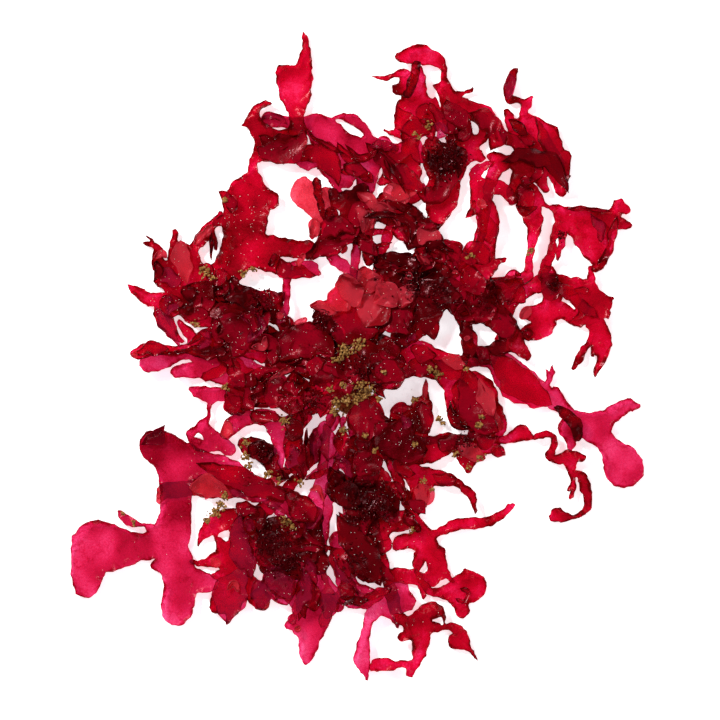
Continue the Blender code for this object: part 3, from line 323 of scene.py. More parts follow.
blade = {
    "thickness": 0.7 * mm,
    "sharpAngle": 50,  # degrees, between a face of the blade and its margin
    "refine": 2,
    "rippleLength": (7.5, 4.2),  # mm
    "rippleHeight": (0.9, 0.4),  # mm
    "rippleReach": 6.0,  # mm in from the margin
    "rippleInside": 0.35,  # what is left of the ripple away from the margin
    "fillRoom": 0.6,  # the share of the free height that a ripple may take
    "smoothUnder": 60,  # degrees
    "openRoom": 99.0,  # mm, where nothing lies over the blade
    "uprightEdge": 0.8,  # rise over length, past which an edge joins the two faces
    "raggedLength": (9.0, 4.0),  # mm
    "ragged": (0.5, 0.2),  # mm, how far the margin wanders
    "lip": (17.0, 1.9, 2.8),  # mm: from one turned-up stretch of margin to the next, its height, its width
    "shade": 1.2,
    "rimStep": 0.4 * mm,
}


# A smooth wandering between about -1 and 1, for places in mm.
def waves(x, y, length, seed):
    total = np.zeros(len(x))
    for k, share in enumerate((1.0, 0.72, 0.55)):
        turn = 1.3 * k + 0.8 * seed
        along = (x * math.cos(turn) + y * math.sin(turn)) / (share * length)
        across = (y * math.cos(turn) - x * math.sin(turn)) / (1.4 * share * length)
        total += np.sin(2 * math.pi * along + seed) * np.cos(2 * math.pi * across + 2 * seed)
    return total / 2


def vertexPlaces(obj):
    places = np.zeros(len(obj.data.vertices) * 3)
    obj.data.vertices.foreach_get("co", places)
    return places.reshape(-1, 3)


def triangles(obj):
    obj.data.calc_loop_triangles()
    corners = np.zeros(len(obj.data.loop_triangles) * 3, int)
    obj.data.loop_triangles.foreach_get("vertices", corners)
    return corners.reshape(-1, 3)


def treeOf(objects):
    places, faces, first = [], [], 0
    for obj in objects:
        found = vertexPlaces(obj)
        places.append(found)
        faces.append(triangles(obj) + first)
        first += len(found)
    return BVHTree.FromPolygons(np.vstack(places).tolist(), np.vstack(faces).tolist())


# The free height over each vertex, in mm. From the underside it is counted over the blade's top.
def roomAbove(others, places, normals):
    room = np.full(len(places), blade["openRoom"])
    for k, (x, y, z) in enumerate(places):
        distance = others.ray_cast(Vector((x, y, z)), Vector((0, 0, 1)))[3]
        if distance is not None:
            room[k] = (distance - (blade["thickness"] if normals[k, 2] < 0 else 0)) / mm
    return np.clip(room, 0, None)


# Points along the blade's margin, where its faces meet its narrow edge.
def marginPoints(obj):
    build = bmesh.new()
    build.from_mesh(obj.data)
    found = []
    for edge in build.edges:
        if len(edge.link_faces) == 2 and edge.calc_face_angle() > math.radians(blade["sharpAngle"]):
            a, b = (v.co for v in edge.verts)
            if abs(a.z - b.z) < blade["uprightEdge"] * (a - b).length:
                steps = max(1, round((b - a).length / blade["rimStep"]))
                found += [a.lerp(b, k / steps) for k in range(steps)]
    build.free()
    return found


def newPiece(name, data):
    piece = bpy.data.objects.new(name, data)
    bpy.context.scene.collection.objects.link(piece)
    return piece


def makeActive(piece):
    bpy.ops.object.select_all(action="DESELECT")
    bpy.context.view_layer.objects.active = piece
    piece.select_set(True)


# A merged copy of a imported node's mesh, as an object of its own, in edit mode.
def copyOfNode(node, name):
    piece = newPiece(name, node.data.copy())
    piece.data.name = name
    makeActive(piece)
    bpy.ops.mesh.customdata_custom_splitnormals_clear()
    bpy.ops.object.mode_set(mode="EDIT")
    bpy.ops.mesh.select_all(action="SELECT")
    bpy.ops.mesh.remove_doubles(threshold=0.004 * mm)
    bpy.ops.mesh.select_all(action="DESELECT")
    return piece


def dressBlade(nodeName, seed, others):
    node = frame["nodes"][nodeName]
    piece = copyOfNode(node, nodeName + "_skin")
    bpy.ops.mesh.select_mode(type="EDGE")
    bpy.ops.mesh.edges_select_sharp(sharpness=math.radians(blade["sharpAngle"]))
    bpy.ops.transform.edge_crease(value=1.0)
    bpy.ops.object.mode_set(mode="OBJECT")
    rim = marginPoints(piece)
    smooth = piece.modifiers.new("fineMesh", "SUBSURF")
    smooth.levels = smooth.render_levels = blade["refine"]
    bpy.ops.object.modifier_apply(modifier=smooth.name)

    near = KDTree(len(rim))
    for k, point in enumerate(rim):
        near.insert(point, k)
    near.balance()
    places = vertexPlaces(piece)
    margin = np.array([near.find(p)[2] for p in places]) / mm
    normals = np.zeros(len(places) * 3, np.float32)
    piece.data.vertex_normals.foreach_get("vector", normals)
    room = roomAbove(others, places, normals.reshape(-1, 3))
    x, y = places[:, 0] / mm, places[:, 1] / mm
    ripple = sum(h * (0.5 + 0.5 * waves(x, y, length, seed + k))
                 for k, (length, h) in enumerate(zip(blade["rippleLength"], blade["rippleHeight"])))
    nearMargin = np.clip(1 - margin / blade["rippleReach"], 0, 1)
    ripple *= blade["rippleInside"] + (1 - blade["rippleInside"]) * nearMargin
    apart, high, wide = blade["lip"]
    ripple += high * np.clip(waves(x, y, apart, seed + 11), 0, 1) * np.clip(1 - margin / wide, 0, 1) ** 1.5
    places[:, 2] += np.minimum(ripple, blade["fillRoom"] * room) * mm
    for axis in (0, 1):
        wander = sum(w * waves(x, y, length, seed + 3 * axis + 7)
                     for length, w in zip(blade["raggedLength"], blade["ragged"]))
        places[:, axis] += wander * nearMargin * mm
    piece.data.vertices.foreach_set("co", places.ravel())
    keepOnPoints(piece, "marginDistance", margin)
    keepOnPoints(piece, "toneAndPaintedShade", blade["shade"] * toneAndPaintedShadeAt(x, y))
    piece.data.materials.clear()
    piece.data.materials.append(materials[slotOfNode[nodeName]])
    bpy.ops.object.shade_smooth_by_angle(angle=math.radians(blade["smoothUnder"]))
    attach(piece, "root")
    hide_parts(nodeName)
    return piece


# Where the blades hold more colour than elsewhere, or less: partly their own tone, partly painted shade where
# the pile lies deep and little light comes through. x and y and reach in mm, and the change
toneAndPaintedShadePlaces = [
    (38, 107, 12, 1.2), (80, 103, 14, 0.5), (20, 62, 9, 1.0), (34, 52, 12, 1.2), (3, 91, 8, 0.7),
    (-52, 44, 11, 1.2), (-42, 38, 10, 0.7), (-70, 42, 12, 0.6), (-58, 17, 11, 0.8), (-13, 32, 8, 1.0),
    (53, 32, 9, 1.1), (44, 45, 10, 0.8), (-39, -25, 7, 1.4), (-28, -44, 12, 0.6), (4, -46, 16, 1.1),
    (12, -60, 14, 0.6), (-37, -63, 9, 1.3), (-20, -62, 14, 0.4), (46, -7, 8, 0.4), (2, -92, 9, 0.6),
    (24, -103, 7, 0.6), (40, -90, 10, 0.4), (100, -15, 5, 1.2), (-33, 112, 14, 0.9), (89, 75, 9, 0.5),
    (89, 50, 10, 0.5), (8, 14, 22, 0.3), (-22, 12, 22, 0.3), (24, -18, 20, 0.2), (-105, -62, 14, -0.15),
    (-80, -88, 12, -0.1), (85, 68, 8, 0.2), (-27, 145, 18, -0.2), (62, 77, 10, -0.5), (100, 45, 12, -0.35),
    (89, 106, 10, -0.4), (107, 72, 12, 0.3), (-108, -66, 22, 0.2), (-76, -62, 18, 0.4),
    (-76, -86, 16, 0.12), (-84, -34, 14, 0.3), (-52, 70, 26, 0.42), (-44, 84, 14, 0.3),
    (-100, -90, 12, 0.1), (112, 74, 16, 0.2), (56, 84, 12, -0.4), (60, -28, 12, -0.2), (0, 108, 18, 0.35),
    (-16, -88, 12, 0.3), (8, -97, 9, -0.35), (126, -28, 14, -0.3), (118, 62, 12, -0.3), (2, 25, 14, 0.9),
    (20, 34, 10, 0.7), (8, -10, 9, 0.5), (-20, -112, 12, -0.4), (6, -118, 9, -0.3), (-62, 88, 12, 0.2),
    (-88, -18, 18, 0.6), (-64, -30, 14, 0.5), (-46, -38, 14, 0.8), (-74, -52, 12, 0.3),
]


shading = {
    "spread": 0.6,  # of each place's reach
    "drift": 0.15,
    "driftLength": 26,  # mm
    "limits": (0.3, 3),
}


# The blades' own tone, with the painted shade of the deep pile, at places in mm.
def toneAndPaintedShadeAt(x, y):
    shade = np.ones(len(x))
    for px, py, reach, change in toneAndPaintedShadePlaces:
        away = (x - px) ** 2 + (y - py) ** 2
        shade += change * np.exp(-away / (shading["spread"] * reach) ** 2)
    shade *= 1 + shading["drift"] * waves(x, y, shading["driftLength"], 4)
    return np.clip(shade, *shading["limits"])


def keepOnPoints(obj, name, values):
    kept = obj.data.attributes.new(name, "FLOAT", "POINT")
    kept.data.foreach_set("value", values.astype(np.float32))


bladeNodes = sorted(n for n in frame["nodes"] if n != "holdfast")
skins = []
for seed, nodeName in enumerate(bladeNodes):
    rest = treeOf([o for n, o in frame["nodes"].items() if n != nodeName])
    skins.append(dressBlade(nodeName, seed, rest))
print("blades dressed:", len(skins), "with", sum(len(s.data.polygons) for s in skins), "faces")

# The top of the pile, on a grid of the ground in mm, which the smaller pieces lie on

pile = {
    "cell": 0.8, "west": -140.0, "south": -140.0, "columns": 360, "rows": 400, "ceiling": 60.0,
    "overhang": 8,  # cells
    "sag": 0.25,  # mm down for each cell of the overhang
}


# Heights in mm, and 0 where there is no blade.
def pileTop(objects):
    tree = treeOf(objects)
    top = np.zeros((pile["rows"], pile["columns"]))
    for j in range(pile["rows"]):
        for i in range(pile["columns"]):
            x, y = pile["west"] + i * pile["cell"], pile["south"] + j * pile["cell"]
            hit = tree.ray_cast(Vector((x * mm, y * mm, pile["ceiling"] * mm)), Vector((0, 0, -1)))[0]
            if hit is not None:
                top[j, i] = hit.z / mm
    return top


def cellsOf(x, y):
    i = np.clip(np.round((x - pile["west"]) / pile["cell"]).astype(int), 1, pile["columns"] - 2)
    j = np.clip(np.round((y - pile["south"]) / pile["cell"]).astype(int), 1, pile["rows"] - 2)
    return j, i


# The pile's top carried a little way out over the bare ground, for blades that reach past its edge.
def overhang(top):
    for _ in range(pile["overhang"]):
        padded = np.pad(top, 1)
        beside = np.maximum.reduce([padded[2:, 1:-1], padded[:-2, 1:-1], padded[1:-1, 2:], padded[1:-1, :-2]])
        top = np.where(top > 0, top, np.clip(beside - pile["sag"], 0, None))
    return top


top = pileTop(skins)
covered = top > 0
top = overhang(top)
print("pile measured, highest", round(float(top.max()), 1), "mm")


# Small blades that lie among the fronds

leaflet = {
    "mesh": (18, 7),  # faces along and across
    "thickness": 0.35 * mm,
    "gap": 0.4,  # mm over what it lies on
    "smoothing": 6,
    "evenFrom": 3.0,  # mm, blades of a greater half-width have smoother outlines
    "wobble": ((0.22, 2.3), (0.14, 1.1)),  # share of the half-width, and length in mm
    "oneSided": (0.7, 1.25),  # how the half-widths of the two sides vary
    "flat": 0.45,  # share of the half-width that doesn't roll up
    "rollLeast": 0.05,  # radians
    "rollLength": 3.4,  # mm
    "ruffleLength": (1.5, 0.83),  # mm
    "endShare": 0.8,  # of the way to an end that counts as the way to the margin
}


# Evenly counted places on a Catmull-Rom curve through (x, y, half-width) points.
def curveThrough(points, count):
    p = np.array(points, float)
    if len(p) == 2:
        p = np.array([p[0], (p[0] + p[1]) / 2, p[1]])
    ends = np.vstack([2 * p[0] - p[1], p, 2 * p[-1] - p[-2]])
    found = []
    for place in np.linspace(0, len(p) - 1, count):
        k = min(int(place), len(p) - 2)
        t = place - k
        a, b, c, d = ends[k:k + 4]
        found.append(0.5 * (2 * b + (c - a) * t + (2 * a - 5 * b + 4 * c - d) * t * t
                            + (3 * b - 3 * c + d - a) * t ** 3))
    return np.array(found)


def smoothed(heights):
    padded = np.pad(heights, 1, mode="edge")
    return (4 * heights + padded[2:, 1:-1] + padded[:-2, 1:-1] + padded[1:-1, 2:] + padded[1:-1, :-2]) / 8


# One small blade along the points, draped on the pile. curl is how far each side rolls up, in radians,
# and tip how blunt its ends are. Returns None if less than the share onPile of it lies over the pile.
def addLeaflet(points, slot, ruffle=0.85, curl=(0.0, 0.0), tip=2.6, shade=1.0, seed=0, onPile=0.4,
               mesh=leaflet["mesh"]):
    rows, columns = mesh[1] + 1, mesh[0] + 1
    line = curveThrough(points, columns)
    along = np.gradient(line[:, :2], axis=0)
    along /= np.maximum(np.hypot(*along.T), 1e-6)[:, None]
    u = np.linspace(-1, 1, columns)
    rng = np.random.default_rng(seed)
    phase = rng.uniform(0, 6.28, 6)
    blunt = np.sqrt(np.clip(1 - np.abs(u) ** tip, 0, 1))
    v = np.linspace(-1, 1, rows)
    x, y, lift, rim = (np.zeros((rows, columns)) for _ in range(4))
    travelled = np.concatenate([[0], np.cumsum(np.hypot(*np.diff(line[:, :2], axis=0).T))])
    toEnd = np.minimum(travelled, travelled[-1] - travelled) * leaflet["endShare"] + 0.1
    uneven = min(1.0, leaflet["evenFrom"] / line[:, 2].mean())
    for side, sign in ((0, -1), (1, 1)):
        wobble = sum(share * np.sin(travelled / length + phase[side + 2 * k])
                     for k, (share, length) in enumerate(leaflet["wobble"]))
        half = np.maximum(line[:, 2], 0.2) * blunt * (1 + uneven * wobble) * rng.uniform(*leaflet["oneSided"])
        flat = leaflet["flat"] * half
        roll = curl[side] * (0.65 + 0.35 * np.sin(travelled / leaflet["rollLength"] + phase[4 + side]))
        rolls = np.abs(roll) > leaflet["rollLeast"]
        radius = np.where(rolls, (half - flat) / np.maximum(np.abs(roll), leaflet["rollLeast"]), 0)
        longWave, shortWave = leaflet["ruffleLength"]
        wave = np.sin(travelled / longWave + phase[side])
        wave += 0.6 * np.sin(travelled / shortWave + phase[3 - side])
        for r in np.flatnonzero(v * sign >= 0):
            reach = abs(v[r]) * half
            angle = roll * np.clip((reach - flat) / np.maximum(half - flat, 1e-6), 0, 1)
            rolled = np.where(rolls, radius * np.sin(np.abs(angle)), np.clip(reach - flat, 0, None))
            out = np.minimum(reach, flat) + rolled
            x[r] = line[:, 0] - sign * along[:, 1] * out
            y[r] = line[:, 1] + sign * along[:, 0] * out
            lift[r] = radius * (1 - np.cos(angle)) + ruffle * abs(v[r]) ** 2 * (0.9 + 0.55 * wave)
            rim[r] = np.minimum(half - reach, toEnd)
    cells = cellsOf(x, y)
    if covered[cells].mean() < onPile:
        return None
    beneath = top[cells] + leaflet["gap"]
    height = beneath.copy()
    for _ in range(leaflet["smoothing"]):
        height = np.maximum(smoothed(height), beneath)
    height = height + lift

    bpy.ops.mesh.primitive_grid_add(x_subdivisions=mesh[0], y_subdivisions=mesh[1], size=2)
    piece = bpy.context.object
    piece.data.vertices.foreach_set("co", (np.stack([x, y, height], axis=-1) * mm).ravel())
    keepOnPoints(piece, "marginDistance", rim.ravel())
    keepOnPoints(piece, "toneAndPaintedShade", shade * toneAndPaintedShadeAt(x.ravel(), y.ravel()))
    wall = piece.modifiers.new("wall", "SOLIDIFY")
    wall.thickness = leaflet["thickness"]
    wall.offset = 1
    bpy.ops.object.modifier_apply(modifier=wall.name)
    piece.data.materials.append(materials[slot])
    for dj in (-1, 0, 1):
        for di in (-1, 0, 1):
            np.maximum.at(top, (cells[0] + dj, cells[1] + di), height - lift + leaflet["thickness"] / mm)
    return piece


# The small dark blades that fill crowded places
filler = {
    "tries": 5,  # for each blade
    "length": (12, 28),  # mm
    "half": (1.6, 4.4),  # mm
    "taper": (0.6, 1.25),
    "bend": 0.12,
    "curls": (0, 0, 0, 0.8, 1.6),
    "ruffle": (0.4, 1.0),
    "tip": (1.5, 3.2),
    "shade": (0.7, 1.3),
    "onPile": 0.93,
    "mesh": (11, 4),
}

# The crowded places: x, y and reach in mm, how many blades, and their finishes
crowds = [
    (-44, 38, 13, 6, (crimson, maroon)), (-22, 10, 18, 12, (crimson,)), (10, 14, 17, 8, (crimson,)),
    (34, 52, 12, 11, (crimson, maroon)), (50, 46, 13, 7, (crimson,)),
    (43, 104, 13, 8, (maroon, crimson)), (36, 118, 12, 3, (crimson,)), (60, 112, 14, 3, (crimson,)),
    (88, 106, 16, 3, (crimson,)), (8, -52, 16, 10, (crimson, maroon)),
    (-30, -66, 16, 12, (crimson, maroon)), (4, -80, 14, 7, (crimson,)), (24, -18, 20, 7, (crimson,)),
    (56, -14, 14, 6, (crimson, scarlet)), (-70, 42, 16, 4, (crimson, rose)),
    (-62, 12, 14, 4, (crimson,)), (16, 84, 16, 8, (crimson, scarlet)), (-32, -8, 20, 8, (crimson,)),
    (90, 36, 16, 5, (crimson,)), (48, -80, 16, 6, (crimson,)),
]


def growCrowd(made):
    rng = random.Random(11)
    for x, y, reach, count, slots in crowds:
        grown = 0
        for _ in range(filler["tries"] * count):
            if grown == count:
                break
            turn, away = rng.uniform(0, 2 * math.pi), reach * math.sqrt(rng.random())
            px, py = x + away * math.cos(turn), y + away * math.sin(turn)
            heading, bend = rng.uniform(0, 2 * math.pi), rng.uniform(-filler["bend"], filler["bend"])
            length, half = rng.uniform(*filler["length"]), rng.uniform(*filler["half"])
            points = []
            for _ in range(4):
                points.append((px, py, half * rng.uniform(*filler["taper"])))
                px += length / 3 * math.cos(heading)
                py += length / 3 * math.sin(heading)
                heading += bend * length
            slot = rng.choice(slots)
            curl = (rng.choice(filler["curls"]), rng.choice(filler["curls"]))
            piece = addLeaflet(points, slot, ruffle=rng.uniform(*filler["ruffle"]), curl=curl,
                               tip=rng.uniform(*filler["tip"]), shade=rng.uniform(*filler["shade"]),
                               seed=rng.randrange(10000), onPile=filler["onPile"], mesh=filler["mesh"])
            if piece:
                made[slot].append(piece)
                grown += 1


# Small blades seen in the pile, each lying on those before it: its finish, how much colour it holds, then
# x, y and half-width in mm of each of its points and, where its sides roll up, how far.
smallBlades = [
    # over the holdfast
    (crimson, 1.3, -22, -2, 4, -14, 3, 7, -4, 7, 7, 4, 8, 4),
    (crimson, 1.3, -14, 12, 5, -2, 16, 9, 12, 16, 8, 24, 14, 5),
    (crimson, 1.2, 20, 9, 3, 29, 13, 6, 38, 14, 5), (crimson, 1.2, 8, 19, 4, 13, 15, 5.5, 18, 13, 4),
    (crimson, 1.1, 16, 14, 4, 18, 8, 6.5, 20, 3, 4), (crimson, 1.3, 8, -10, 4, 15, -18, 7.5, 20, -24, 6),
    (rose, 1, -12, -12, 2.5, -10, -20, 4, -11, -29, 2.5),
    (rose, 1, -16, -14, 1.5, -17, -22, 2.5, -16, -30, 1.5),
    (crimson, 1.2, -4, -14, 3, -5, -20, 4, -3, -27, 3), (crimson, 1.3, -2, -10, 5, 7, -10, 8.6, 15, -11, 5),
    # upper left
    (crimson, 1, -27, 106, 2.5, -19, 109, 4.5, -12, 107, 5, -8, 101, 4, -6, 94, 1),
    (crimson, 1.2, -20, 120, 1, -16, 115, 1.6, -8, 111, 1.6, -2, 108, 1),
    (crimson, 1.2, -4, 104, 2, 1, 102, 4, 7, 101, 3),
    (crimson, 1, 6, 114, 2, 13, 108, 4, 20, 100, 4.5, 27, 95, 3),
    (crimson, 1.2, -42, 117, 2, -36, 114, 3.5, -28, 114, 3, -22, 118, 2),
    (scarlet, 0.8, -53, 90, 1.5, -53, 85, 1.6), (crimson, 1.6, -34, 64, 1.5, -37, 58, 2),
    (crimson, 0.9, -33, 62, 2, -30, 57, 4, -22, 55, 3, -16, 54, 1),
    (scarlet, 0.9, -21, 64, 1.5, -25, 58.5, 1.8), (maroon, 0.7, -64, 76, 1, -63, 68, 0.9, -63, 61, 0.7),
    (crimson, 0.9, -69, 58, 1.2, -65, 57, 2.6, -63, 52, 1.2),
    (crimson, 0.8, -65, 52, 1.5, -60, 53, 3.5, -57, 57, 3),
    (scarlet, 1, -71, 68, 1.2, -66, 73, 2, -63, 77, 1.2),
    # left tuft
    (rose, 1, -88, 40, 1.5, -85, 35, 3.6, -80, 27, 2.6, -77, 22, 1),
    (rose, 0.9, -88, 57, 1.5, -83, 55, 4.5, -77, 50, 3),
    (maroon, 0.8, -88, 61, 1.5, -87, 56, 1.8, -89, 51, 0.9, (1.4, 0)),
    (scarlet, 0.8, -89, 62, 1.3, -85, 64, 2.2, -83, 62, 1.2),
    (scarlet, 0.65, -77, 70, 4.5, -77, 64, 5.8, -75.5, 57, 4.5, -74, 50, 2),
    (crimson, 1.3, -76, 49, 3, -69, 44, 7, -64, 38, 6), (maroon, 0.8, -77, 48, 3, -70, 46, 4),
    (crimson, 1.5, -78, 40, 2, -72, 37, 4.5, -64, 37, 4), (scarlet, 1.1, -78, 42, 1, -76, 40.5, 1.6),
    (rose, 0.9, -82, 45, 1.2, -82, 42, 2), (crimson, 0.95, -97, 19, 2, -90, 21.5, 3, -82, 21, 1.8),
    (scarlet, 0.6, -98.5, 18.5, 1, -96, 19, 2),
    (maroon, 0.9, -80, 20, 1.2, -72, 20, 2, -62, 19, 3, -56, 20, 3),
    (rose, 1, -65, 30, 2.5, -66, 25, 3, -69, 21, 1.5),
    (maroon, 0.7, -74, 23, 1.2, -70, 26, 1.6, -68.5, 29, 1.2, (1.6, 1.6)),
    # middle left
    (maroon, 1, -58, 44, 2.5, -50, 45, 4, -42, 44, 3, -38, 40, 2),
    (crimson, 1.1, -45, 48, 1.5, -38, 44, 4.5, -32, 45, 3),
    (crimson, 1.2, -60, 36, 4, -54, 33, 8, -50, 24, 7, -54, 17, 3),
    (rose, 0.9, -50, 36, 1.5, -44, 34, 3, -43, 29, 3.4, -47, 24, 1.5),
    (crimson, 1.2, -49, 37, 1.5, -44, 34, 2, -44, 28, 1.2), (scarlet, 1.1, -34, 37, 1.2, -31, 35, 1.8),
    (scarlet, 1.1, -45, 22, 1, -40, 22.5, 2.5, -38.5, 27, 1.5),
    (scarlet, 0.6, -27, 32, 0.8, -23, 33.5, 1.6, -20, 35, 1.5),
    (crimson, 1.4, -33, 16, 4, -26, 23, 7, -16, 24, 7, -8, 18, 5),
    (maroon, 1, -18, 35, 2, -14, 36, 3, -11, 33, 2), (maroon, 0.9, -12, 33, 1.5, -8, 30, 3, -8, 25, 2.2),
    (crimson, 0.9, -54, 14, 2.5, -52, 8, 3.5, -50, 3, 3), (crimson, 1.3, -48, 10, 3, -44, 4, 3),
    (crimson, 0.6, -53, 1, 3, -53, -4, 3.6, -52, -8, 2.5),
    (scarlet, 1.1, -37, 7, 1.5, -31, 11, 1.6, -26, 12, 1),
    (crimson, 1.2, -32, 2, 2, -26, 5, 4.5, -19, 6, 3), (crimson, 1.3, -33, 0, 2, -28, -3, 5, -21, -4, 4),
    (crimson, 1.3, -18, -3, 3, -12, -5, 3.5, -9, -7, 1.5),
    # lower left
    (rose, 1.5, -95, -22, 0.8, -88, -18, 3.5, -84, -13, 1.2),
    (scarlet, 0.6, -73, -41, 3, -64, -40.5, 4.6, -55, -43, 2.5),
    (crimson, 1.2, -70, -30, 3, -55, -35, 6, -40, -41, 6, -26, -45, 5),
    (scarlet, 0.9, -55, -11, 3, -57, -15, 3.2, -57, -19, 1.6),
    (maroon, 1.1, -47, -22, 2, -41, -25, 4.5, -35, -24, 2.5),
    (maroon, 0.9, -28, -8, 2, -26, -15, 3.5, -27, -20, 2),
    (rose, 0.9, -27, -21, 2, -26, -27, 2.3, -30, -33, 1.5),
    (crimson, 0.95, -23, -20, 1.5, -21, -28, 3, -22, -37, 1.5),
    (crimson, 1.4, -20, -14, 1, -20, -25, 1.2, -19, -33, 0.8),
    (crimson, 1.1, -33, -26, 2, -34, -30, 2, -31, -36, 0.8),
    (crimson, 1, -21, -37, 1.2, -15, -35, 1.8, -11, -32, 1), (rose, 1, -7, -26, 2, -3, -31, 3, 0, -36, 2),
    (maroon, 0.9, -10, -31, 1.5, -8, -37, 4.5, -5, -41, 4),
    (scarlet, 1.1, -19, -42, 1.2, -15, -41, 1.6, -12.5, -47, 0.7),
    (rose, 0.85, -38, -48, 2.5, -33, -51, 3, -31, -55, 2),
    (crimson, 1, -52, -48, 2.5, -48, -50, 4.5, -42, -51, 2.5), (rose, 0.9, -48, -55, 3, -44, -60, 2.5),
    (crimson, 1.5, -30, -43, 4, -22, -49, 6, -17, -56, 5),
    (rose, 1.2, -50, -52, 2, -52, -62, 4.5, -50, -72, 6, -45, -82, 4),
    (rose, 1.1, -38, -76, 3, -33, -84, 6, -29, -94, 3),
    (rose, 1.3, -20, -72, 2, -19, -82, 3.5, -22, -92, 3, -24, -101, 1.5),
    (rose, 1.1, -8, -72, 1.5, -3, -80, 3, 4, -86, 3, 12, -88, 2),
    (rose, 1.2, -6, -90, 1.5, 6, -92, 3, 18, -86, 2.5),
    (maroon, 1.2, -40, -60, 5, -36, -68, 6, -33, -75, 4), (scarlet, 0.6, -62, -77, 2, -60, -73, 2.4),
    (rose, 1, -48, -77, 5, -53, -87, 9, -55, -95, 8, -56, -102, 2),
    (rose, 0.9, -43, -82, 3, -41, -89, 5.2, -41, -96, 4),
    (scarlet, 1.1, -56, -87, 1.2, -53, -84, 1.6, -51, -88, 1.5, (1.5, 0.5)),
    (rose, 0.9, -37, -84, 3.5, -30, -86, 6.5, -27, -91, 4),
    # foot of the plant
    (crimson, 1.2, -24, -82, 2, -23, -92, 2.5, -21, -100, 2),
    (crimson, 0.9, -19, -82, 3, -17, -90, 4.5, -17, -97, 3),
    (rose, 1, -11, -88, 3, -10, -95, 3.5, -12, -100, 2), (rose, 1, -25, -98, 2.5, -28, -102, 2.5),
    (scarlet, 1.1, -24, -103, 2, -25, -106, 1.2), (crimson, 1.5, -2, -62, 4, 4, -70, 6, 8, -78, 5),
    (crimson, 0.9, -7, -74, 1.5, -4, -76, 2.2, -1, -82, 1.5),
    (crimson, 0.8, 0, -74, 0.8, 2.5, -77, 1, 1, -82, 0.8), (crimson, 1, -5, -83, 2, -2, -86, 3, 1, -90, 2),
    (crimson, 1, 5, -90, 1.5, 11, -89, 2, 17, -86, 2), (maroon, 0.9, -4, -93, 1.5, 2, -92.5, 2, 8, -91, 1),
    (maroon, 0.9, -10, -42, 3, -3, -45, 6, 5, -47, 5),
    (crimson, 1.2, -6, -52, 1.5, -3, -58, 3.5, -4, -64, 2), (maroon, 1, 3, -42, 4, 10, -46, 6, 17, -50, 4),
    (maroon, 0.8, -7, -53, 3, -2, -62, 6, 5, -72, 7, 10, -80, 5, 13, -85, 2),
    # lower right
    (crimson, 1.3, 10, -12, 4, 17, -18, 7, 26, -24, 6, 34, -24, 5),
    (crimson, 1.2, 2, -24, 4, 8, -30, 6.5, 12, -35, 3), (crimson, 1.4, 38, -20, 4, 46, -22, 4, 48, -27, 2),
    (crimson, 1.1, 31, -2, 3, 31, -10, 5.5, 33, -17, 4), (crimson, 1, 17, -7, 1.5, 21, -5, 3, 25, -6, 2),
    (rose, 0.9, 22, -8, 1, 24, -12, 1.8, 23, -15, 0.8), (scarlet, 0.9, 32, -1, 1.5, 33, 4, 1.3, 33, 8, 0.8),
    (scarlet, 0.7, 28, -41, 4, 33, -44, 5, 37, -42, 2), (crimson, 1, 25, -47, 1, 29, -49, 3, 33, -53, 1),
    (crimson, 0.9, 36, -35, 2, 41, -38, 3.5, 47, -37, 3), (crimson, 1, 14, -38, 2, 20, -42, 3, 23, -48, 2),
    (crimson, 1.2, 24, -50, 1, 26, -56, 2.5, 31, -61, 2), (crimson, 1.2, 48, 8, 3, 50, 0, 5, 51, -8, 4.5),
    (scarlet, 0.75, 58, 6, 2.5, 60, -1, 4.5, 63, -11, 3.5),
    (scarlet, 0.7, 58, -10, 3, 64, -12, 4.5, 68, -15, 2),
    (maroon, 0.9, 44, -2, 1.2, 45, -9, 2, 49, -14, 2, 54, -14, 1.5),
    (scarlet, 1.1, 48, -22, 3, 54, -26, 4, 60, -28, 3),
    (crimson, 1.2, 55, -18, 2.5, 60, -20, 3, 66, -18, 2),
    (crimson, 1.1, 62, -24, 2.5, 66, -25, 2.3, 69, -26.5, 0.5),
    # middle
    (crimson, 1.4, 8, 14, 4, 16, 12, 6, 24, 8, 4), (maroon, 1, 8, 6, 2.2, 12, 3, 2, 15, -1, 0.6),
    (crimson, 1.3, 12, 28, 2.5, 16, 22, 5, 20, 17, 4), (crimson, 1.3, 26, 22, 3, 32, 20, 4, 38, 18, 3),
    (rose, 1, 24, 24, 1.2, 27, 27, 1.6, 28, 25, 1), (scarlet, 0.8, 40, 17, 1.5, 46, 15, 3, 51, 13, 2),
    (maroon, 1, 49, 34, 2, 52, 28, 3, 52, 20, 3, 50, 15, 2), (scarlet, 0.8, 51, 27, 1.2, 52, 25, 1),
    (crimson, 1, 56, 22, 1.5, 60, 18, 3, 64, 14, 3), (crimson, 1.1, 62, 38, 3, 67, 33, 4, 72, 26, 4),
    (scarlet, 1.1, 76, 39, 2.5, 80, 36, 3.4), (crimson, 1, 77, 30, 2.5, 80, 26, 2.8),
    (crimson, 1.2, 52, 40, 3, 58, 38, 4, 65, 40, 3), (crimson, 1.2, 68, 47, 2.5, 73, 45, 4.5, 78, 42, 2),
    (crimson, 1, 67, 52, 1, 72, 55, 1.8, 76, 54, 1.2, (1.8, 1.8)),
    (maroon, 1.1, 30, 52, 3, 36, 48, 5, 42, 46, 5, 49, 45, 3),
    (crimson, 1, 50, 57, 4, 55, 52, 5, 57, 45, 4),
    (maroon, 0.9, 62, 54, 1, 64, 47, 1.2, 66, 41, 1, (1.2, 0)),
    (crimson, 0.9, 41, 60, 1.8, 45, 59, 2.4, 48, 56, 1.2), (scarlet, 0.9, 45, 56, 1.6, 47.5, 55, 1),
    # upper middle
    (crimson, 1, -19, 61, 1.5, -13, 66, 4, -6, 68, 3, 1, 70, 2),
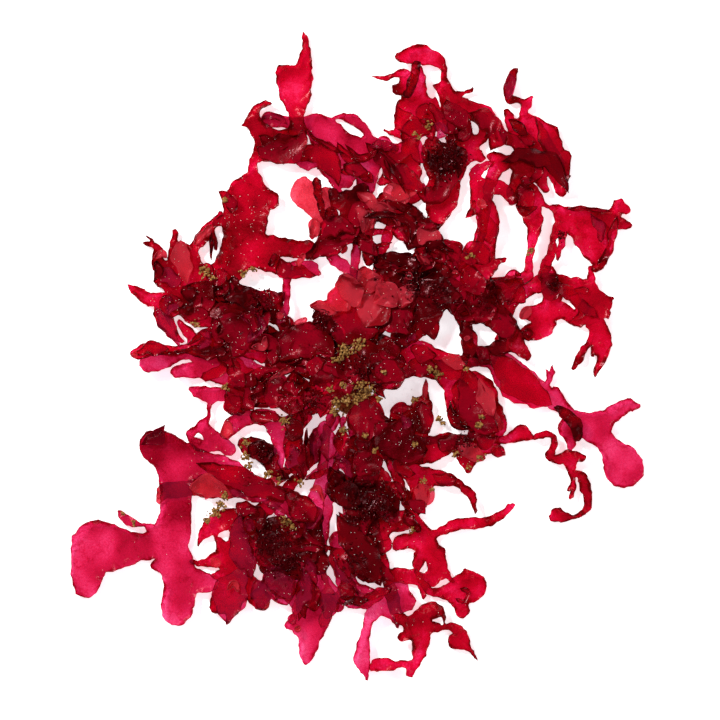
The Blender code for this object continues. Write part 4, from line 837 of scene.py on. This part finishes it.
    (crimson, 1.2, -16, 68, 2, -11, 75, 4.5, -4, 77, 5, 1, 73, 2.5),
    (scarlet, 0.9, -17, 80, 2.5, -17, 76, 3, -16, 71, 2),
    (maroon, 1, -12, 79, 1.5, -9, 83, 2.8, -6, 80, 1.5), (scarlet, 1.1, 2, 85, 2, 5, 80, 2.8, 6, 72, 1.2),
    (scarlet, 0.8, 14, 93, 3, 20, 90, 4.5, 26, 88, 3),
    (maroon, 0.6, 14, 87.5, 1.2, 20, 85.5, 1.8, 27, 84, 1.5),
    (scarlet, 0.9, 6, 87, 2.2, 11, 84, 2.2, 17, 82, 1.5),
    (maroon, 0.9, 5, 80, 2, 14, 81, 1.8, 22, 80, 2, 27, 76, 3, 26, 69, 2),
    (crimson, 1.1, 5, 73, 2.5, 11, 74, 1.6, 17, 74, 1), (crimson, 1, 18, 76, 1.6, 21, 73, 2.4, 25, 69, 1.8),
    (crimson, 1, 3, 71, 2.5, 8, 67, 3, 12, 63, 2), (crimson, 1.2, 10, 67, 1.2, 15, 68, 1.2, 18, 69, 0.6),
    (maroon, 1.2, 13, 63, 2.5, 22, 62, 3.5, 30, 58, 3),
    (maroon, 0.5, 10, 59, 2.5, 15, 59, 2, 18, 59, 1, (0.8, 0.8)),
    (crimson, 1.2, 19, 56, 1.2, 24, 57, 1.3, 28, 56, 0.8),
    (scarlet, 0.75, 30, 68, 2.5, 34, 72, 3.5, 40, 70, 3),
    (crimson, 1.1, 28, 78, 1.4, 34, 76, 1.4, 40, 77, 1.5),
    (maroon, 1, 33, 64, 1.8, 38, 67, 2.2, 46, 65, 1.5), (crimson, 1, 48, 62, 4, 56, 63, 5, 62, 60, 4),
    (scarlet, 1, 28, 66, 1, 31, 62, 1.1, 35, 59, 1.3), (crimson, 0.8, 56, 82, 4, 61, 76, 5, 62, 68, 4),
    (crimson, 1.2, 55, 88, 1.5, 54, 83, 1.8, 51, 80, 0.8), (scarlet, 0.75, 56, 85, 2, 60, 87, 2.5),
    # upper right
    (rose, 0.7, 71, 145, 1.5, 71.5, 139, 2.6, 70, 133, 2.2),
    (crimson, 1.2, 66, 120, 2, 72, 115, 4, 78, 109, 3),
    (crimson, 1.3, 82, 126, 2, 86, 119, 4.5, 90, 110, 5, 94, 102, 4, 96, 92, 2),
    (maroon, 1, 70, 124, 1.5, 75, 121, 3, 79, 117, 2),
    (maroon, 0.8, 67, 105, 2, 76, 107.5, 3.5, 86, 106, 4, 93, 99, 3, 97, 91, 1.5),
    (crimson, 1, 75, 95, 3, 77, 89, 5.5, 80, 83, 4), (maroon, 0.8, 73, 86, 1, 77, 82.5, 2, 83, 85, 1),
    (crimson, 1.2, 119, 81, 2, 117, 73, 3, 115, 65, 2.6, 110, 59, 1.8),
    (rose, 1, 107, 82, 1, 111, 76, 2.5, 112, 69, 2), (crimson, 1.1, 96, 84, 1, 105, 84, 1.3, 116, 83, 1),
    (crimson, 1.1, 42, 133, 3, 47, 126, 5, 52, 121, 4),
    (crimson, 1.3, 52, 127, 2, 60, 124, 4, 65, 117, 4, 62, 110, 2),
    # the light fan and its petals
    (crimson, 0.9, 14, 30, 4, 20, 34, 6, 27, 38, 4),
    (crimson, 0.8, -10, 36, 5, -3, 33, 9, 6, 31, 8, 12, 29, 3),
    (scarlet, 1.5, 2, 44, 4, 9, 39, 6.5, 16, 33, 5), (scarlet, 1, -19, 41, 1, -13, 40, 2.4, -7, 37, 3),
    (scarlet, 0.5, -11, 46, 4, -6, 43, 5.6, -1, 38.5, 3.5),
    (scarlet, 0.55, 4, 57, 3.5, 6, 52.5, 4.8, 8.5, 46, 4),
    (scarlet, 0.6, 12, 51, 4, 16, 46, 5.5, 20, 40, 3.5),
    (scarlet, 1.1, 27, 50, 2.5, 24.5, 45, 4.5, 21, 39.5, 3),
    (scarlet, 0.6, 24, 53, 1.3, 27, 54.5, 1.8, (1.0, 0)),
    (scarlet, 1.2, -4, 55, 4.5, -1.5, 49, 5.6, 1, 44, 5, 3, 40, 3),
    (maroon, 0.9, -18, 33, 3, -13, 33, 4.5, -9, 28, 4),
    (maroon, 1, 29, 45, 4, 33, 38, 6.5, 35, 31, 5.5, 37, 25, 3),
    (crimson, 1.2, -6, 22, 3, 0, 16, 5, 4, 9, 4.5, 6, 3, 3),
    # last, on top of the rest
    (crimson, 1, -43, 112, 2, -38, 110, 5, -30, 110, 6, -23, 114, 4, -22, 120, 2),
    (rose, 0.8, -41, 124, 1.5, -37, 126, 2.5, -32, 125, 2, -29, 122, 1),
    (crimson, 1.2, -3, 113, 1, 2, 108, 2, 8, 108, 2, 12, 112, 1),
    (rose, 0.8, 8, 112, 1.5, 14, 113, 2.6, 20, 110, 2),
    (crimson, 1.1, 14, 106, 2, 19, 101, 4, 26, 96, 5, 32, 92, 3),
    (maroon, 0.8, 12, 110, 0.8, 17, 104, 1.2, 21, 97, 1.2, 24, 91, 0.8),
    (crimson, 0.9, 20, 130, 2, 23, 124, 5, 28, 120, 6, 34, 118, 3),
    (rose, 0.7, 37, 122, 1.5, 40, 119, 2.6, 38, 115, 1.5),
    (crimson, 1, -60, 92, 2, -55, 88, 3.5, -54, 82, 3),
    (crimson, 0.8, 61, 19, 3, 69, 14, 6.5, 77, 6, 8, 85, 0, 6, 90, -4, 2),
    (crimson, 1, 50, 14, 3, 53, 5, 7, 56, -4, 9, 60, -12, 8, 66, -16, 3),
    (scarlet, 0.8, 57, 8, 2, 60, 0, 4.5, 63, -9, 4),
    (scarlet, 0.5, -72.5, -41.5, 4, -66, -40, 5.2, -59, -42, 4, -54, -44, 1.5),
    (rose, 0.9, -39, -79, 3, -33, -84, 5.5, -27, -91, 3),
    (rose, 0.9, -14, -78, 1.5, -10, -86, 3, -11, -95, 3.5, -14, -104, 2.5),
    (rose, 1, -22, -76, 1.5, -20, -84, 3, -23, -92, 3, -26, -99, 2),
]


tipOf = {rose: 2.7, scarlet: 2.7, crimson: 2.0, maroon: 2.0}


def growSmallBlades(made):
    for seed, (slot, shade, *numbers) in enumerate(smallBlades):
        curl = numbers.pop() if isinstance(numbers[-1], tuple) else (0, 0)
        piece = addLeaflet(np.reshape(numbers, (-1, 3)), slot, curl=curl, tip=tipOf[slot], shade=shade,
                           seed=seed)
        if piece:
            made[slot].append(piece)


def joinLeaflets(pieces, name):
    bpy.ops.object.select_all(action="DESELECT")
    for piece in pieces:
        piece.select_set(True)
    bpy.context.view_layer.objects.active = pieces[0]
    bpy.ops.object.join()
    joined = bpy.context.object
    joined.name = joined.data.name = name
    bpy.ops.object.mode_set(mode="EDIT")
    bpy.ops.mesh.select_all(action="SELECT")
    bpy.ops.mesh.remove_doubles(threshold=0.01 * mm)
    bpy.ops.mesh.normals_make_consistent(inside=False)
    bpy.ops.object.mode_set(mode="OBJECT")
    bpy.ops.object.shade_smooth_by_angle(angle=math.radians(blade["smoothUnder"]))
    bpy.ops.object.transform_apply(location=True, rotation=True, scale=True)
    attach(joined, "root")
    return joined


leaflets = {slot: [] for slot in finishes}
growCrowd(leaflets)
growSmallBlades(leaflets)
for slot, pieces in leaflets.items():
    joined = joinLeaflets(pieces, slot.split("_")[0] + "_leaflets")
    print(joined.name, len(pieces), "blades,", len(joined.data.polygons), "faces")


# Crust, grains and threads on the blades

crustLook = {
    "patchSize": 1.3 * mm,
    "relief": 0.35 * mm,
    "colours": ((0.3, (0.06, 0.022, 0.006)), (0.45, (0.21, 0.09, 0.018)), (0.58, (0.37, 0.18, 0.045)),
                (0.75, (0.62, 0.40, 0.17))),
    "speckTone": 6 * mm,
    "speckColours": ((0.35, (0.62, 0.42, 0.30)), (0.6, (0.9, 0.86, 0.8))),
}


def rampOf(tree, value, stops):
    ramp = addNode(tree, "ShaderNodeValToRGB", {"Fac": value})
    for k, (place, colour) in enumerate(stops):
        stop = ramp.color_ramp.elements[k] if k < 2 else ramp.color_ramp.elements.new(place)
        stop.position, stop.color = place, (*colour, 1)
    return ramp.outputs["Color"]


def crustMaterial():
    made, tree, shader = newMaterial("gold crust", roughness=0.75, specular=0.2)
    place = ownPlace(tree)
    patch = noiseAt(tree, place, crustLook["patchSize"], 3, 0.6)
    tree.links.new(rampOf(tree, patch, crustLook["colours"]), shader.inputs["Base Color"])
    addRelief(tree, shader, noiseAt(tree, place, crustLook["patchSize"] / 3, 2), crustLook["relief"])
    return made


def speckMaterial():
    made, tree, shader = newMaterial("pale specks", roughness=0.4, specular=0.5)
    tone = noiseAt(tree, ownPlace(tree), crustLook["speckTone"])
    tree.links.new(rampOf(tree, tone, crustLook["speckColours"]), shader.inputs["Base Color"])
    return made


materials["crust"] = crustMaterial()
materials["specks"] = speckMaterial()
for holder in frame["nodes"]["holdfast"].material_slots:
    holder.material = materials["crust"]

# Patches of crust: x, y and reach in mm, and how many grains
crustPatches = [
    (-3, 21, 3, 68), (3, 23, 3, 52), (-6, 17, 2, 28), (-7, -3, 2, 32), (-3, -2, 2.2, 36),
    (2, -1, 2.2, 36), (-7, -7, 2, 32), (6, 0, 2, 28), (8, 3, 2.5, 32), (4, 5, 3, 36), (-4, -15, 1.8, 24),
    (12, -1, 1.2, 14), (28, -1, 1.4, 18), (38, 10, 2.2, 36), (35, 12, 1.4, 16), (51, 12, 1.5, 16),
    (39, -10, 1.6, 20), (41, -12, 1.4, 16), (57, -13, 1.5, 16), (58, -9, 1.2, 10), (14, 11, 1.0, 10),
    (6, -17, 1.6, 16), (10, -24, 1.4, 12), (28, -21, 1.3, 12), (46, -26, 1.5, 14), (58, -28, 2, 16),
    (52, -32, 1.3, 10), (32, -38, 1.4, 12), (36, -42, 1.2, 10), (27, -60, 1.4, 12), (-30, -11, 2.2, 28),
    (-10, 3, 1.5, 14), (-4, 5, 1.5, 14), (-48, -21, 2, 28), (-48, -27, 2, 24), (-46, -31, 1.6, 20),
    (-38, -35, 2.2, 24), (-33, -37, 1.6, 16), (-24, -38, 1.8, 20), (-30, -56, 2.6, 32),
    (-27, -59, 1.5, 12), (-57, -45, 1.6, 16), (-59, -49, 2.2, 36), (-62, -52, 2.4, 40),
    (-65, -56, 1.6, 20), (-49, 55, 1.6, 16), (-44, 57, 1.6, 16), (-57, 88, 1.4, 12), (-66, 56, 2.4, 32),
    (-62, 53, 1.6, 16), (-70, 32, 1.6, 16), (80, 65, 1.8, 18), (29, 116, 1.8, 16), (34, 121, 1.8, 16),
    (53, 63, 1.5, 12), (-57, 4, 1.8, 20), (-98, -57, 1.0, 10), (-103, -53, 1.0, 8),
]

# Where tiny pale specks lie, and how many: x, y, reach, count
speckZones = [
    (-68, 60, 22, 60), (-30, 20, 30, 190), (20, 20, 30, 170), (20, -20, 26, 130), (30, 52, 26, 110),
    (45, 100, 26, 130), (-30, -66, 24, 170), (8, -50, 26, 110), (8, -80, 26, 70), (-45, -20, 26, 90),
    (55, -16, 22, 80), (-50, 40, 26, 90), (0, 80, 30, 60), (85, 60, 24, 40), (-84, 45, 16, 50),
    (-40, 100, 20, 30), (-80, -50, 30, 25), (-52, 78, 18, 70), (-34, 112, 14, 30),
]

# Dark knots of small growth on the blades: x, y, reach, grains, threads
knots = [
    (41, 106, 8, 420, 110), (-34, -66, 9, 480, 110), (-28, -74, 7, 220, 40), (8, -50, 9, 260, 40),
    (28, 50, 7, 160, 30), (-40, -25, 4, 90, 20), (90, 50, 2.5, 40, 16), (94, 72, 2, 30, 12),
    (38, 46, 6, 120, 20), (-40, 42, 6, 110, 14), (-14, 34, 5, 90, 14), (62, 44, 6, 90, 14),
    (4, 12, 7, 130, 16), (-16, -2, 6, 110, 14), (0, -72, 6, 110, 14), (50, -20, 5, 80, 14),
]


grainShape = {
    "lumps": (0.75, 1.15),
    "flattened": (1, 0.8, 0.62),
    "lift": 0.55,  # of its radius, over the blade
    "shade": 1.6,
}


def onTop(x, y):
    j, i = cellsOf(np.array([x]), np.array([y]))
    return j[0], i[0]


# Centres and radii of grains scattered over the patches, in mm, heaped up where they crowd.
def grainPlaces(patches, sizes, rng, heap):
    found = []
    for x, y, reach, count in patches:
        for _ in range(count):
            px, py = rng.gauss(x, reach / 2), rng.gauss(y, reach / 2)
            cell = onTop(px, py)
            if top[cell] <= 0:
                continue
            radius = rng.uniform(*sizes)
            found.append((px, py, top[cell] + grainShape["lift"] * radius, radius))
            top[cell] += heap * radius
    return np.array(found)


# Fine growth has no margin, and one shade all over.
def finishGrowth(piece, material, shade):
    piece.data.materials.append(material)
    count = len(piece.data.vertices)
    keepOnPoints(piece, "marginDistance", np.full(count, 9.0))
    keepOnPoints(piece, "toneAndPaintedShade", np.full(count, shade))
    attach(piece, "root")


def scatterGrains(name, material, grains, detail, rng):
    bpy.ops.mesh.primitive_ico_sphere_add(subdivisions=detail, radius=1)
    pattern = bpy.context.object
    unit = vertexPlaces(pattern)
    corners = triangles(pattern)
    bpy.data.objects.remove(pattern)
    places, faces = [], []
    for k, (x, y, z, radius) in enumerate(grains):
        turn = Matrix.Rotation(rng.uniform(0, 6.28), 3, "Z") @ Matrix.Rotation(rng.uniform(0, 6.28), 3, "X")
        lumps = np.array([[rng.uniform(*grainShape["lumps"])] for _ in unit])
        uneven = unit * lumps * grainShape["flattened"]
        places.append((uneven @ np.array(turn).T * radius + (x, y, z)) * mm)
        faces.append(corners + k * len(unit))
    piece = newPiece(name, bpy.data.meshes.new(name))
    piece.data.from_pydata(np.vstack(places).tolist(), [], np.vstack(faces).tolist())
    finishGrowth(piece, material, grainShape["shade"])
    print(name, len(grains), "grains")


# name, finish, material, places, least and greatest radius in mm, how far they heap up, fineness
scattered = [
    ("crust_grains", "holdfast", materials["crust"], crustPatches, (0.3, 0.85), 0.5, 2),
    ("dark_knots", maroon, materials[maroon], [k[:4] for k in knots], (0.25, 0.7), 0.3, 1),
    ("pale_specks", "holdfast", materials["specks"], speckZones, (0.1, 0.24), 0, 1),
]
settled = random.Random(23)
for name, slot, material, spots, sizes, heap, detail in scattered:
    scatterGrains(name, material, grainPlaces(spots, sizes, settled, heap), detail, settled)

threads = {
    "radius": 0.09 * mm,
    "length": (1.5, 4.5),  # mm
    "rise": 1.1,  # mm
    "lean": 2.6,  # radians of the arch that a thread follows
    "bend": 0.7,  # radians at each point
    "thinning": 0.18,
    "shade": 2.0,
}


# Fine dark threads that stand up from the knots and lean over.
def growThreads():
    rng = random.Random(31)
    shape = bpy.data.curves.new("dark_threads", "CURVE")
    shape.dimensions = "3D"
    shape.bevel_depth = threads["radius"]
    shape.bevel_resolution = 0
    shape.use_fill_caps = True
    for x, y, reach, _, count in knots:
        for _ in range(count):
            px, py = rng.gauss(x, reach / 2), rng.gauss(y, reach / 2)
            height = top[onTop(px, py)]
            if height <= 0:
                continue
            heading, length = rng.uniform(0, 6.28), rng.uniform(*threads["length"])
            thread = shape.splines.new("POLY")
            thread.points.add(4)
            for k, point in enumerate(thread.points):
                rise = height + threads["rise"] * math.sin(threads["lean"] * k / 4)
                point.co = (px * mm, py * mm, rise * mm, 1)
                point.radius = 1 - threads["thinning"] * k
                heading += rng.uniform(-threads["bend"], threads["bend"])
                px += length / 4 * math.cos(heading)
                py += length / 4 * math.sin(heading)
    makeActive(newPiece("dark_threads", shape))
    bpy.ops.object.convert(target="MESH")
    piece = bpy.context.object
    finishGrowth(piece, materials[maroon], threads["shade"])
    print("threads", len(piece.data.polygons), "faces")


growThreads()
